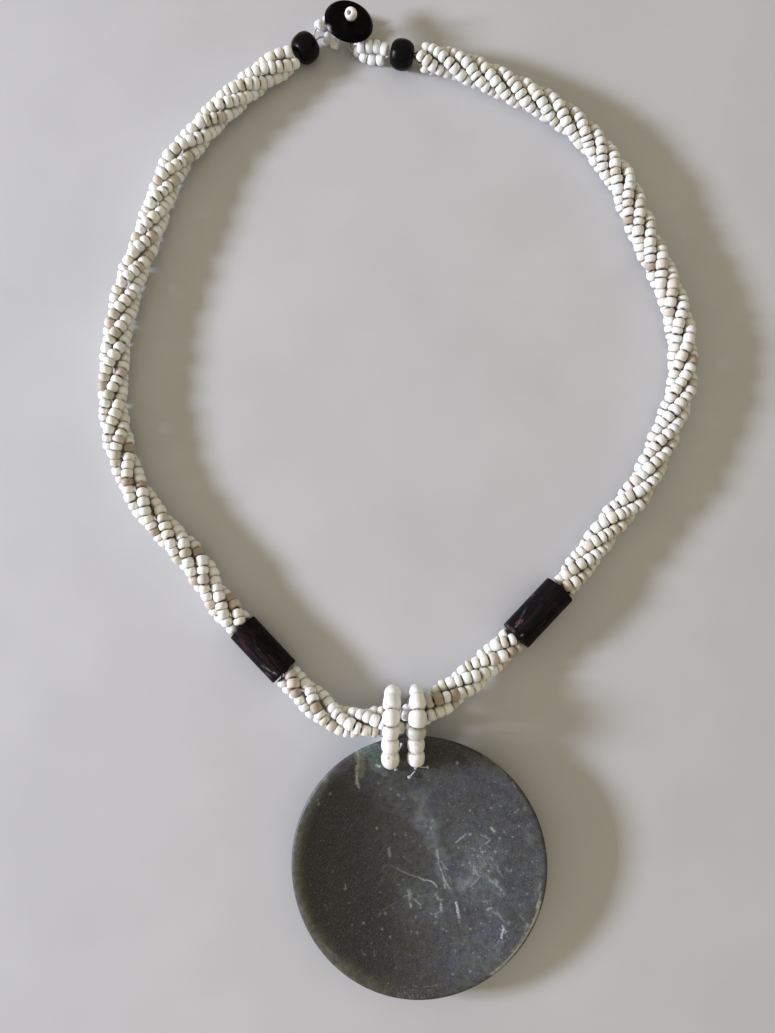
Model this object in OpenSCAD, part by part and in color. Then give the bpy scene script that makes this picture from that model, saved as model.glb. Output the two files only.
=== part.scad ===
// Necklace of twisted seed bead strands with a round shell pendant, lying on a surface.
// +X is to the right, +Y runs towards the clasp and +Z is up. Every size is in millimetres.

/* [Bead rope] */
// Radius of the twisted rope, over the crests of its strands
rope_radius = 4.0; // [3.6:0.05:4.05]
// Length of rope in which a strand makes one full turn
twist_pitch = 30; // [24:1:40]
// Distance between two rings of the rope's surface
ring_step = 2.4; // [2:0.1:4]

/* [Wooden beads] */
// Length of the left tube bead
tube_left_length = 15.4; // [14:0.1:15.6]
// Diameter of the left tube bead
tube_left_width = 7.8; // [7:0.1:8]
// Length of the right tube bead
tube_right_length = 16.2; // [14:0.1:16.4]
// Diameter of the right tube bead
tube_right_width = 8.4; // [7.6:0.1:8.6]
// Diameter of the bore through each tube bead
tube_bore = 3.2; // [2.8:0.1:4]
// Diameter of the two rondelles beside the clasp
rondelle_width = 7.6; // [7:0.1:7.8]
// Length of the two rondelles along the thread
rondelle_length = 6.1; // [5.6:0.1:6.3]
// Diameter of the bore through each rondelle
rondelle_bore = 2.6; // [2.4:0.1:3]

/* [Clasp] */
// Diameter of the button
button_width = 13; // [12:0.1:13.4]
// Thickness of the button
button_thickness = 2.4; // [2:0.1:2.5]
// Lean of the button towards the right, in degrees
button_lean = 13; // [10:1:14]
// Lean of the button away from the pendant, in degrees
button_back_lean = 9; // [6:1:10]
// Diameter of the bead that stops the button
stop_bead_width = 3.1; // [2.8:0.1:3.2]
// Diameter of the seed beads of the loop and the stem
clasp_bead_width = 2.9; // [2.7:0.05:2.95]
// Length of a seed bead of the loop and the stem
clasp_bead_length = 1.85; // [1.7:0.05:1.9]

/* [Bail] */
// Diameter of the bore through each bead of the two bail loops
bail_bead_bore = 1.6; // [1.4:0.1:1.7]
// Diameter of the thread through the bail beads
bail_thread_width = 0.7; // [0.5:0.1:0.8]

/* [Shell disc] */
// Mean diameter of the disc
disc_width = 61.3; // [57.5:0.1:61.9]
// Thickness of the shell
disc_thickness = 2.4; // [2:0.1:2.6]
// Depth of the hollow in the front of the disc
disc_dish = 5.6; // [5.2:0.1:6]
// Lift of the disc's upper edge, in degrees
disc_tilt = 2.9; // [2.6:0.1:3.2]

/* [Hidden] */
// Route of the rope from the left rondelle down to the left tube bead
LEFT_ROUTE = [
    [-27.4, 112.9, 4.1], [-32, 110, 4.1], [-38.5, 105, 4.1], [-46.5, 97.5, 4.1], [-54, 89, 4.1],
    [-58.5, 82.5, 4.1], [-61.5, 74.5, 4.1], [-63.5, 68, 4.1], [-66, 60.5, 4.1], [-68.5, 53, 4.1],
    [-70.5, 45.5, 4.1], [-72, 36.5, 4.1], [-72.5, 28.5, 4.1], [-72.5, 20.5, 4.1],
    [-71.5, 12.5, 4.1], [-69.5, 5.5, 4.1], [-66, -3, 4.1], [-60.5, -10.5, 4.1], [-54, -17.5, 4.1],
    [-49.5, -22.5, 4.1], [-46.5, -28, 4.1], [-42.5, -33, 4.1], [-39.1, -36.7, 4.1]
];
// Route of the rope from the left tube bead under the bail loops to the right tube bead
FRONT_ROUTE = [
    [-27.9, -48.3, 4.1], [-24.5, -51.8, 4.3], [-17, -58, 6], [-11.5, -59.5, 7.6], [-5.5, -59.3, 8.6],
    [1, -58.8, 8.6], [6, -56.9, 8.6], [10, -54.2, 8], [15, -51, 6.6], [19.5, -47.5, 5.3],
    [23.5, -44.3, 4.5], [28.6, -39.6, 4.2]
];
// Route of the rope from the right tube bead up to the right rondelle
RIGHT_ROUTE = [
    [40.4, -27.4, 4.1], [44, -23.5, 4.1], [51, -14, 4.1], [55.5, -8.5, 4.1], [60, -3.5, 4.1],
    [64.5, 4.5, 4.1], [67.5, 11.5, 4.1], [70, 17.5, 4.1], [72, 24, 4.1], [72.5, 30.5, 4.1],
    [72.5, 36.5, 4.1], [71.5, 42.5, 4.1], [69.5, 49.5, 4.1], [66.5, 57, 4.1], [63.5, 64, 4.1],
    [61, 71, 4.1], [59, 76.5, 4.1], [56, 81.5, 4.1], [51.5, 88, 4.1], [48, 92, 4.1],
    [44, 95.5, 4.1], [40, 98.5, 4.1], [33.5, 102, 4.1], [28.5, 104.5, 4.1], [23, 107, 4.1],
    [19, 109, 4.1], [15, 110.3, 4.1], [10, 111.7, 4.1], [4.6, 112.7, 4.1]
];
// Route of the clasp loop's thread, out of the left rondelle, round the stem and back
LOOP_ROUTE = [
    [-22.2, 117.6, 4.3], [-22.4, 119.6, 3.1], [-21.9, 121.8, 2.1], [-20.6, 123.5, 1.7],
    [-18.4, 124.7, 1.6], [-16, 125.3, 1.6], [-13.5, 125.1, 1.7], [-11.4, 123.9, 2],
    [-10.4, 122, 2.2], [-11.2, 120.2, 2.4], [-13.3, 119.5, 2.4], [-15.1, 118.5, 2],
    [-16.8, 118.1, 1.6], [-18.9, 119.7, 1.6], [-20.7, 119.2, 2.6], [-21.8, 117.2, 4]
];
// Routes of the stem's two threads, out of the right rondelle and up under the button
STEM_UPPER_ROUTE = [
    [-2.2, 114, 4.5], [-3.6, 114.5, 4.5], [-5.6, 115.1, 4.5], [-7.7, 115.2, 4.5],
    [-10.2, 115.1, 4.5], [-11.1, 116, 4.3], [-11.7, 116.8, 2.9], [-12.2, 117, 1.2],
    [-12.5, 118.2, 0.5], [-12.5, 119.4, 0.5], [-12.6, 121.2, 0.6], [-12.9, 122.2, 1.8],
    [-13.1, 121.2, 4.4]
];
STEM_LOWER_ROUTE = [
    [-2.2, 113.6, 3.5], [-4.2, 113.4, 1.9], [-6.6, 113.6, 1.5], [-8.8, 114.2, 1.5],
    [-10.8, 115.9, 1.5], [-12.4, 116.5, 0.9], [-13.1, 118.4, 0.5], [-13.5, 120.3, 0.5],
    [-13.8, 122, 0.9], [-13.9, 122.5, 2.2], [-13.7, 121.1, 4.5]
];
// Distance of each bead's middle along its thread
LOOP_PLACES = [6.35, 9.2, 11.7, 14.2, 16.7, 19.4, 22.8, 27.5, 30];
STEM_UPPER_PLACES = [1.5, 3.6, 5.7, 7.8];
STEM_LOWER_PLACES = [3.1, 5.4, 7.7, 10];

// Radius of the strand-shaped section at each sixteenth of a turn, as a part of rope_radius
LOBE = [1, 0.87, 0.68, 0.87];
LOBES = 4;
// The rope narrows over this length at both ends, to this part of its radius
TAPER_LENGTH = 4;
TAPER_END = 0.78;
// The bail loops squeeze the rope by this part of its radius at this place, less further away
SQUEEZE = 0.12;
SQUEEZE_PLACE = [1.5, -58, 8.6];
SQUEEZE_REACH = 14;

// Height of the wooden beads above the surface, so small that they rest on it
REST = 0.05;
TUBE_LEFT_CENTRE = [-33.5, -42.5, tube_left_width / 2 + REST];
TUBE_LEFT_TURN = -46;
TUBE_RIGHT_CENTRE = [34.5, -33.5, tube_right_width / 2 + REST];
TUBE_RIGHT_TURN = 46;
TUBE_EDGE = 0.35;
RONDELLE_LEFT_CENTRE = [-24.6, 115.2, rondelle_width / 2 + REST];
RONDELLE_LEFT_TURN = 42;
RONDELLE_RIGHT_CENTRE = [1.05, 113.3, rondelle_width / 2 + REST];
RONDELLE_RIGHT_TURN = -10;
// A rondelle's profile: radius of its end faces, as a part of its radius, and how square it is
RONDELLE_FACE = 0.42;
RONDELLE_ROUND = 0.7;
// Space round the strands' threads in a bore
CORE_GAP = 0.1;

BUTTON_CENTRE = [-12.9, 119.8, 7.5];
BUTTON_BORE = 2.2;
BUTTON_EDGE = 0.7;
// The direction of the button's bore
BUTTON_AXIS = [
    cos(button_back_lean) * sin(button_lean), sin(button_back_lean),
    cos(button_back_lean) * cos(button_lean)
];
STOP_BEAD_CENTRE = [-12.2, 119.7, 10.4];
STOP_BEAD_AXIS = [-0.47, -0.35, 1];
STOP_BEAD_LENGTH = 2.4;
CLASP_BORE = 1.2;
CLASP_THREAD = 0.5;
// The stem's two threads lie this far to either side of the button's axis, between two heights
BORE_SIDE = 0.4;
BORE_FROM = -1.2;
BORE_TO = 0.9;
// A direction that neither of these threads ever takes
THREAD_UP = [1, 0, 0.3];

// Each bail loop is a chain of beads up its front, over the rope and back beneath it.
// Columns: where a bead starts, as X, Y and Z, and how wide it is
BAIL_LEFT = [
    [-2.1, -69.2, 9.4, 4.3], [-2.15, -65.5, 12.4, 4.2], [-2.1, -62.1, 13.9, 4],
    [-2, -59.2, 14.9, 4.2], [-1.9, -55.6, 14, 4.3], [-1.6, -53.1, 11.3, 4.1],
    [-1.5, -52.3, 7.9, 4.1], [-1.6, -53.5, 4.6, 4.2], [-1.8, -56.2, 2.5, 4.2],
    [-2, -59.8, 2.2, 4.2], [-2.1, -63.3, 2.2, 4.2], [-2.1, -66.8, 2.3, 4.2], [-2.1, -70.3, 2.3, 4.2]
];
BAIL_RIGHT = [
    [3.95, -68.9, 9.4, 4.2], [3.9, -65.4, 11.8, 4.1], [3.85, -62, 13.5, 4.5],
    [4, -59.4, 14.8, 4.4], [4.3, -55.5, 14.7, 3.9], [4.1, -52.6, 12.5, 3.5],
    [4, -51.8, 9.2, 3.5], [4, -52.6, 5.9, 3.7], [4, -54.6, 3, 4.2],
    [4, -57.6, 2.2, 4.2], [4, -61.2, 2.2, 4.2], [4, -64.8, 2.2, 4.2], [4, -68.4, 2.3, 4.2]
];
// Space between a bead's end and its joint
JOINT_GAP = 0.06;
// A barrel bead's profile: its last angle, how square it is, and the rim left round its bore
BEAD_ARC = 75;
BEAD_ROUND = 2 / 3;
BEAD_LIP = 0.1;
// The two holes in the disc that the loops' threads pass through, as X and Y
HOLES = [[-2.1, -70.5], [3.95, -70.5]];
HOLE_WIDTH = 1.7;

// Outline of the disc: an oval and a slight egg shape, as added radius and direction
DISC_CENTRE = [4.66, -93];
DISC_OVAL = [0.25, 109];
DISC_EGG = [0.15, 10];
DISC_SIDES = 72;
// Rings of the disc from its back over the rim to its front, as parts of radius and thickness
DISC_RINGS = [
    [0.22, 0], [0.42, 0], [0.6, 0], [0.79, 0], [0.96, 0], [0.99, 0.14], [1, 0.5],
    [0.99, 0.86], [0.96, 1], [0.79, 1], [0.6, 1], [0.42, 1], [0.22, 1]
];
BACK_RADIUS = (pow(disc_width / 2, 2) + pow(disc_dish, 2)) / (2 * disc_dish);
SPHERE_CENTRE = [DISC_CENTRE[0], DISC_CENTRE[1] - BACK_RADIUS * sin(disc_tilt), BACK_RADIUS];

// Melted thread ends: where each leaves the others and where its tip lies, as X and Y
TAIL_ROOTS = [[-1.6, -69.9], [3.9, -71.2], [5, -70.1], [-0.5, -66.7]];
TAIL_TIPS = [[-0.8, -70.6], [2.5, -72.6], [6.8, -70.1], [0.6, -64.4]];
TAIL_WIDTH = 0.35;
TAIL_TIP = 0.9;
TAIL_LIFT = 0.68;
// Height of a root above the disc
TAIL_ROOT_LIFT = 0.38;

ROPE_COLOR = [0.93, 0.91, 0.87];
BAIL_COLOR = [0.97, 0.97, 0.94];
WOOD_COLOR = [0.13, 0.1, 0.1];
BUTTON_COLOR = [0.06, 0.06, 0.06];
SHELL_COLOR = [0.25, 0.26, 0.28];
THREAD_COLOR = [0.85, 0.84, 0.8];

BAIL_LEFT_BEADS = [for (i = [1:len(BAIL_LEFT) - 1]) str("bail_left_bead_", i)];
BAIL_RIGHT_BEADS = [for (i = [1:len(BAIL_RIGHT) - 1]) str("bail_right_bead_", i)];
TAILS = [for (i = [1:len(TAIL_ROOTS)]) str("thread_tail_", i)];
$fn = 48;

// Curves

function unit(v) = v / norm(v);

function spline_point(a, b, c, d, t) =
    0.5 * (2 * b + (c - a) * t + (2 * a - 5 * b + 4 * c - d) * t * t
        + (3 * b - a - 3 * c + d) * t * t * t);

// A smooth curve through the points p, with a point about every step
function smooth_route(p, step) = [
    for (i = [0:len(p) - 2])
        let (a = i == 0 ? 2 * p[0] - p[1] : p[i - 1])
        let (d = i + 2 < len(p) ? p[i + 2] : 2 * p[i + 1] - p[i])
        let (n = max(1, round(norm(p[i + 1] - p[i]) / step)))
        for (k = [0:n - 1 + (i == len(p) - 2 ? 1 : 0)])
            spline_point(a, p[i], p[i + 1], d, k / n)
];

// Length along the curve q up to each of its points
function run_lengths(q) = [
    for (i = 0, s = 0; i < len(q); s = i + 1 < len(q) ? s + norm(q[i + 1] - q[i]) : s, i = i + 1) s
];

function tangent(q, i) = unit(q[min(i + 1, len(q) - 1)] - q[max(i - 1, 0)]);

// The point at length s along the curve q, whose run lengths are r
function point_at(q, r, s) =
    let (i = max([for (k = [0:len(q) - 2]) r[k] <= s ? k : 0]))
    q[i] + (q[i + 1] - q[i]) * (s - r[i]) / (r[i + 1] - r[i]);

// Skin over rings of m points each, closed at both ends by a fan round the end's centre
function skin_faces(rings, m) = concat(
    [for (i = [0:rings - 2], j = [0:m - 1]) [i * m + j, (i + 1) * m + j, i * m + (j + 1) % m]],
    [for (i = [0:rings - 2], j = [0:m - 1]) [(i + 1) * m + j, (i + 1) * m + (j + 1) % m, i * m + (j + 1) % m]],
    [for (j = [0:m - 1]) [rings * m, j, (j + 1) % m]],
    [for (j = [0:m - 1]) [rings * m + 1, (rings - 1) * m + (j + 1) % m, (rings - 1) * m + j]]
);

// A thread of diameter w along the points q; up is a direction that the thread never takes
module thread(q, w, up) {
    sides = 8;
    points = [
        for (i = [0:len(q) - 1])
            let (t = tangent(q, i))
            let (s = unit(cross(t, up)))
            let (u = cross(s, t))
            for (j = [0:sides - 1]) q[i] + w / 2 * (cos(360 * j / sides) * u + sin(360 * j / sides) * s)
    ];
    polyhedron(concat(points, [q[0], q[len(q) - 1]]), skin_faces(len(q), sides));
}

// Turns its children so that their Z axis points along d
module along(d) {
    rotate([0, acos(d[2] / norm(d)), atan2(d[1], d[0])]) children();
}

// Radius of a barrel bead's surface at the angle a of its profile, kept clear of the bore
function bead_radius(width, bore, a) = max(bore / 2 + BEAD_LIP, width / 2 * pow(cos(a), BEAD_ROUND));

// A drilled barrel bead with rounded ends, its bore along Z
module bead(width, length, bore) {
    h = length / 2;
    rotate_extrude()
        polygon(concat(
            [[bore / 2, -h]],
            [
                for (a = [-BEAD_ARC:BEAD_ARC / 5:BEAD_ARC])
                    [bead_radius(width, bore, a), h * sign(a) * pow(abs(sin(a) / sin(BEAD_ARC)), BEAD_ROUND)]
            ],
            [[bore / 2, h]]
        ));
}

// Rope

// The rope narrows near its ends, where the strands gather into a bore
function taper(s, total) =
    TAPER_END + (1 - TAPER_END) * min(1, s / TAPER_LENGTH, (total - s) / TAPER_LENGTH);

function squeezed(p) = 1 - SQUEEZE * max(0, 1 - norm(p - SQUEEZE_PLACE) / SQUEEZE_REACH);

// A bundle of twisted strands: its section has one lobe for each strand and turns clockwise
module rope(route) {
    q = smooth_route(route, ring_step);
    r = run_lengths(q);
    m = LOBES * len(LOBE);
    total = r[len(q) - 1];
    points = [
        for (i = [0:len(q) - 1])
            let (t = tangent(q, i))
            let (s = unit(cross(t, [0, 0, 1])))
            let (u = cross(s, t))
            let (radius = rope_radius * taper(r[i], total) * squeezed(q[i]))
            for (j = [0:m - 1])
                let (a = 360 * (j / m + r[i] / twist_pitch))
                q[i] + radius * LOBE[j % len(LOBE)] * (cos(a) * u + sin(a) * s)
    ];
    polyhedron(concat(points, [q[0], q[len(q) - 1]]), skin_faces(len(q), m));
}

module rope_left() {
    color(ROPE_COLOR) rope(LEFT_ROUTE);
}

module rope_front() {
    color(ROPE_COLOR) rope(FRONT_ROUTE);
}

module rope_right() {
    color(ROPE_COLOR) rope(RIGHT_ROUTE);
}

// Wooden beads

// A drilled tube with slightly rounded end edges, its bore along Z
module tube_bead(width, length) {
    r = width / 2;
    h = length / 2;
    rotate_extrude()
        polygon([
            [tube_bore / 2, -h], [r - TUBE_EDGE, -h], [r, -h + TUBE_EDGE],
            [r, h - TUBE_EDGE], [r - TUBE_EDGE, h], [tube_bore / 2, h]
        ]);
}

// A drilled rounded disc bead, its bore along Z
module rondelle() {
    r = rondelle_width / 2;
    h = rondelle_length / 2;
    rotate_extrude()
        polygon(concat(
            [[rondelle_bore / 2, -h]],
            [
                for (a = [-BEAD_ARC:BEAD_ARC / 5:BEAD_ARC])
                    [
                        r * (RONDELLE_FACE + (1 - RONDELLE_FACE) * pow(cos(a), RONDELLE_ROUND)),
                        h * sin(a) / sin(BEAD_ARC)
                    ]
            ],
            [[rondelle_bore / 2, h]]
        ));
}

// Lays its children, made along Z, level at the centre c with their axis turned by a
module lay(c, a) {
    translate(c) rotate([0, 90, a]) children();
}

module tube_left() {
    color(WOOD_COLOR)
        lay(TUBE_LEFT_CENTRE, TUBE_LEFT_TURN) tube_bead(tube_left_width, tube_left_length);
}

module tube_right() {
    color(WOOD_COLOR)
        lay(TUBE_RIGHT_CENTRE, TUBE_RIGHT_TURN) tube_bead(tube_right_width, tube_right_length);
}

module rondelle_left() {
    color(BUTTON_COLOR) lay(RONDELLE_LEFT_CENTRE, RONDELLE_LEFT_TURN) rondelle();
}

module rondelle_right() {
    color(BUTTON_COLOR) lay(RONDELLE_RIGHT_CENTRE, RONDELLE_RIGHT_TURN) rondelle();
}

// The strands' threads, gathered where they pass through a bore
module core(bore, length) {
    cylinder(d = bore - 2 * CORE_GAP, h = length, center = true);
}

module core_tube_left() {
    color(THREAD_COLOR)
        lay(TUBE_LEFT_CENTRE, TUBE_LEFT_TURN) core(tube_bore, tube_left_length);
}

module core_tube_right() {
    color(THREAD_COLOR)
        lay(TUBE_RIGHT_CENTRE, TUBE_RIGHT_TURN) core(tube_bore, tube_right_length);
}

module core_rondelle_left() {
    color(THREAD_COLOR)
        lay(RONDELLE_LEFT_CENTRE, RONDELLE_LEFT_TURN) core(rondelle_bore, rondelle_length);
}

module core_rondelle_right() {
    color(THREAD_COLOR)
        lay(RONDELLE_RIGHT_CENTRE, RONDELLE_RIGHT_TURN) core(rondelle_bore, rondelle_length);
}

// Clasp

module button() {
    r = button_width / 2;
    h = button_thickness / 2;
    color(BUTTON_COLOR)
        translate(BUTTON_CENTRE) rotate([-button_back_lean, button_lean, 0]) rotate_extrude()
            polygon([
                [BUTTON_BORE / 2, -h], [r - 2 * BUTTON_EDGE, -h], [r - 0.4 * BUTTON_EDGE, -h + BUTTON_EDGE],
                [r, 0], [r - 0.4 * BUTTON_EDGE, h - BUTTON_EDGE], [r - 1.4 * BUTTON_EDGE, h],
                [BUTTON_BORE / 2, h]
            ]);
}

module stop_bead() {
    color(BAIL_COLOR)
        translate(STOP_BEAD_CENTRE) along(STOP_BEAD_AXIS)
            bead(stop_bead_width, STOP_BEAD_LENGTH, CLASP_BORE);
}

// Seed beads threaded on the route at the given places
module threaded_beads(route, places) {
    q = smooth_route(route, 0.4);
    r = run_lengths(q);
    half = clasp_bead_length / 2;
    for (s = places)
        translate(point_at(q, r, s))
            along(point_at(q, r, s + half) - point_at(q, r, s - half))
                bead(clasp_bead_width, clasp_bead_length, CLASP_BORE);
}

module loop_beads() {
    color(ROPE_COLOR) threaded_beads(LOOP_ROUTE, LOOP_PLACES);
}

module loop_thread() {
    color(THREAD_COLOR) thread(smooth_route(LOOP_ROUTE, 1), CLASP_THREAD, [0, 0, 1]);
}

module stem_upper_beads() {
    color(ROPE_COLOR) threaded_beads(STEM_UPPER_ROUTE, STEM_UPPER_PLACES);
}

module stem_lower_beads() {
    color(ROPE_COLOR) threaded_beads(STEM_LOWER_ROUTE, STEM_LOWER_PLACES);
}

// A place in the button's bore, beside its axis
function bore_point(side, height) = BUTTON_CENTRE + height * BUTTON_AXIS + [side, 0, 0];

module stem_upper_thread() {
    below = STOP_BEAD_CENTRE - STOP_BEAD_LENGTH / 2 * unit(STOP_BEAD_AXIS);
    up = [bore_point(BORE_SIDE, BORE_FROM), bore_point(BORE_SIDE, BORE_TO), below, STOP_BEAD_CENTRE];
    color(THREAD_COLOR) thread(smooth_route(concat(STEM_UPPER_ROUTE, up), 1), CLASP_THREAD, THREAD_UP);
}

module stem_lower_thread() {
    up = [bore_point(-BORE_SIDE, BORE_FROM), bore_point(-BORE_SIDE, BORE_TO)];
    color(THREAD_COLOR) thread(smooth_route(concat(STEM_LOWER_ROUTE, up), 1), CLASP_THREAD, THREAD_UP);
}

// Bail

function joint_place(chain, i) = [chain[i][0], chain[i][1], chain[i][2]];

// The angle by which the chain of beads turns at its joint i
function bend_at(chain, i) =
    i == 0 || i == len(chain) - 1 ? 0
    : let (before = joint_place(chain, i) - joint_place(chain, i - 1))
      let (after = joint_place(chain, i + 1) - joint_place(chain, i))
      atan2(norm(cross(before, after)), before * after);

// How far a bead stays from its joint, so that its end face clears the next one's
function joint_gap(chain, i, width) =
    JOINT_GAP + bead_radius(width, bail_bead_bore, BEAD_ARC) * tan(bend_at(chain, i) / 2);

module bail_bead(chain, i) {
    from = joint_place(chain, i - 1);
    way = unit(joint_place(chain, i) - from);
    reach = norm(joint_place(chain, i) - from);
    width = chain[i - 1][3];
    gap_from = joint_gap(chain, i - 1, width);
    gap_to = joint_gap(chain, i, width);
    color(BAIL_COLOR)
        translate(from + way * (gap_from + reach - gap_to) / 2) along(way)
            bead(width, reach - gap_from - gap_to, bail_bead_bore);
}

// The thread runs through every bead's middle and closes through the hole in the disc
module bail_thread(chain, hole) {
    last = len(chain) - 1;
    middles = [for (i = [1:last]) (joint_place(chain, i - 1) + joint_place(chain, i)) / 2];
    route = concat(
        [concat(hole, 5.6), concat(hole, 7.2), concat(hole + [0, 0.4], 8.2)],
        [joint_place(chain, 0)], middles, [joint_place(chain, last)],
        [concat(hole - [0, 0.4], 3.1), concat(hole, 4.1), concat(hole, 5.4)]
    );
    thread(smooth_route(route, 0.9), bail_thread_width, [1, 0, 0]);
}

module bail_left_thread() {
    color(THREAD_COLOR) bail_thread(BAIL_LEFT, HOLES[0]);
}

module bail_right_thread() {
    color(THREAD_COLOR) bail_thread(BAIL_RIGHT, HOLES[1]);
}

// Shell disc

function disc_radius(a) =
    disc_width / 2 + DISC_OVAL[0] * cos(2 * (a - DISC_OVAL[1])) + DISC_EGG[0] * cos(3 * (a - DISC_EGG[1]));

// Height of the disc's back above its lowest point, at the distance d from its axis
function back_height(d) = BACK_RADIUS - sqrt(pow(BACK_RADIUS, 2) - pow(d, 2));

function disc_point(a, ring) =
    let (d = ring[0] * disc_radius(a))
    [d * cos(a), d * sin(a), back_height(d) + ring[1] * disc_thickness];

module disc_body() {
    points = [for (ring = DISC_RINGS, k = [0:DISC_SIDES - 1]) disc_point(-360 * k / DISC_SIDES, ring)];
    ends = [[0, 0, 0], [0, 0, disc_thickness]];
    polyhedron(concat(points, ends), skin_faces(len(DISC_RINGS), DISC_SIDES));
}

module shell_disc() {
    color(SHELL_COLOR)
        difference() {
            translate(SPHERE_CENTRE) rotate([disc_tilt, 0, 0]) translate([0, 0, -BACK_RADIUS]) disc_body();
            for (hole = HOLES)
                translate(concat(hole, 0)) cylinder(d = HOLE_WIDTH, h = 12);
        }
}

// Height of the disc's front above the surface, at the place p
function front_height(p) =
    back_height(norm(p - [SPHERE_CENTRE[0], SPHERE_CENTRE[1]])) + disc_thickness;

module thread_tail(i) {
    root = concat(TAIL_ROOTS[i - 1], [front_height(TAIL_ROOTS[i - 1]) + TAIL_ROOT_LIFT]);
    tip = concat(TAIL_TIPS[i - 1], [front_height(TAIL_TIPS[i - 1]) + TAIL_LIFT]);
    color(THREAD_COLOR) {
        translate(root) along(tip - root) cylinder(d = TAIL_WIDTH, h = norm(tip - root), $fn = 16);
        translate(tip) sphere(d = TAIL_TIP, $fn = 24);
    }
}

rope_left();
rope_front();
rope_right();
shell_disc();
tube_left();
tube_right();
rondelle_left();
rondelle_right();
core_tube_left();
core_tube_right();
core_rondelle_left();
core_rondelle_right();
button();
stop_bead();
loop_beads();
loop_thread();
stem_upper_beads();
stem_lower_beads();
stem_upper_thread();
stem_lower_thread();
bail_left_thread();
bail_right_thread();
for (i = [1:len(BAIL_LEFT) - 1])
    bail_bead(BAIL_LEFT, i);
for (i = [1:len(BAIL_RIGHT) - 1])
    bail_bead(BAIL_RIGHT, i);
for (i = [1:len(TAIL_ROOTS)])
    thread_tail(i);
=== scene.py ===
"""Necklace of twisted seed bead strands with a ground shell disc, dressed over its solid frame.

Everything is in the frame's axes: +X to the right, +Y towards the clasp and +Z up from the surface
that the necklace lies on. Tables are in millimetres, as in the part's source, and are brought to
metres by MM where they are used.
"""

import logging
import math
from dataclasses import dataclass
from enum import Enum

import bpy
import numpy as np
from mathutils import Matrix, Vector


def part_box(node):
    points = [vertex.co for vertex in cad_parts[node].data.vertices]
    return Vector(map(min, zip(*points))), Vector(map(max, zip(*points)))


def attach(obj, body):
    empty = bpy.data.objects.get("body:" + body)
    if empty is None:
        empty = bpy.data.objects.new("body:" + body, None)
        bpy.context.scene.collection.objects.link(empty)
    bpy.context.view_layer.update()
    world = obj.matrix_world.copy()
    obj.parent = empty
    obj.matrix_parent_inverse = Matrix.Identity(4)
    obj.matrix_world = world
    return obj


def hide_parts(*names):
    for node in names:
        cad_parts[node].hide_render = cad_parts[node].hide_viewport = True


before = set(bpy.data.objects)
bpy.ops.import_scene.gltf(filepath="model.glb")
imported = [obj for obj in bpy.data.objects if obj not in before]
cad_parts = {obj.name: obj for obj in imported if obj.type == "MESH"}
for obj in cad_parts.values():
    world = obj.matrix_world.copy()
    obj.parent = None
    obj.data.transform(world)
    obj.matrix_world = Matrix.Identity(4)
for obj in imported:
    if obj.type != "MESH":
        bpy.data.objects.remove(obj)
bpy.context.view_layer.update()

MM = 0.001
LOG = logging.getLogger("necklace")
Array = np.ndarray
Triple = tuple[float, float, float]
Material = bpy.types.Material
Socket = bpy.types.NodeSocket

# Share of each wave in a random swing, and what brings their sum to about one
WAVE_PARTS = (1.0, 0.57, 0.31)
WAVE_SUM = 1.4

# Routes of the rope, the clasp loop and the stem, point by point. Two runs of the rope lie at one level.
ROPE_LEVEL = 4.1
LEFT_ROUTE = (
    (-27.4, 112.9), (-32, 110), (-38.5, 105), (-46.5, 97.5), (-54, 89),
    (-58.5, 82.5), (-61.5, 74.5), (-63.5, 68), (-66, 60.5), (-68.5, 53),
    (-70.5, 45.5), (-72, 36.5), (-72.5, 28.5), (-72.5, 20.5),
    (-71.5, 12.5), (-69.5, 5.5), (-66, -3), (-60.5, -10.5), (-54, -17.5),
    (-49.5, -22.5), (-46.5, -28), (-42.5, -33), (-39.1, -36.7),
)
FRONT_ROUTE = (
    (-27.9, -48.3, 4.1), (-24.5, -51.8, 4.3), (-17, -58, 6), (-11.5, -59.5, 7.6), (-5.5, -59.3, 8.6),
    (1, -58.8, 8.6), (6, -56.9, 8.6), (10, -54.2, 8), (15, -51, 6.6), (19.5, -47.5, 5.3),
    (23.5, -44.3, 4.5), (28.6, -39.6, 4.2),
)
RIGHT_ROUTE = (
    (40.4, -27.4), (44, -23.5), (51, -14), (55.5, -8.5), (60, -3.5),
    (64.5, 4.5), (67.5, 11.5), (70, 17.5), (72, 24), (72.5, 30.5),
    (72.5, 36.5), (71.5, 42.5), (69.5, 49.5), (66.5, 57), (63.5, 64),
    (61, 71), (59, 76.5), (56, 81.5), (51.5, 88), (48, 92),
    (44, 95.5), (40, 98.5), (33.5, 102), (28.5, 104.5), (23, 107),
    (19, 109), (15, 110.3), (10, 111.7), (4.6, 112.7),
)
LOOP_ROUTE = (
    (-22.2, 117.6, 4.3), (-22.4, 119.6, 3.1), (-21.9, 121.8, 2.1), (-20.6, 123.5, 1.7),
    (-18.4, 124.7, 1.6), (-16, 125.3, 1.6), (-13.5, 125.1, 1.7), (-11.4, 123.9, 2),
    (-10.4, 122, 2.2), (-11.2, 120.2, 2.4), (-13.3, 119.5, 2.4), (-15.1, 118.5, 2),
    (-16.8, 118.1, 1.6), (-18.9, 119.7, 1.6), (-20.7, 119.2, 2.6), (-21.8, 117.2, 4),
)
STEM_UPPER_ROUTE = (
    (-2.2, 114, 4.5), (-3.6, 114.5, 4.5), (-5.6, 115.1, 4.5), (-7.7, 115.2, 4.5),
    (-10.2, 115.1, 4.5), (-11.1, 116, 4.3), (-11.7, 116.8, 2.9), (-12.2, 117, 1.2),
)
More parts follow.
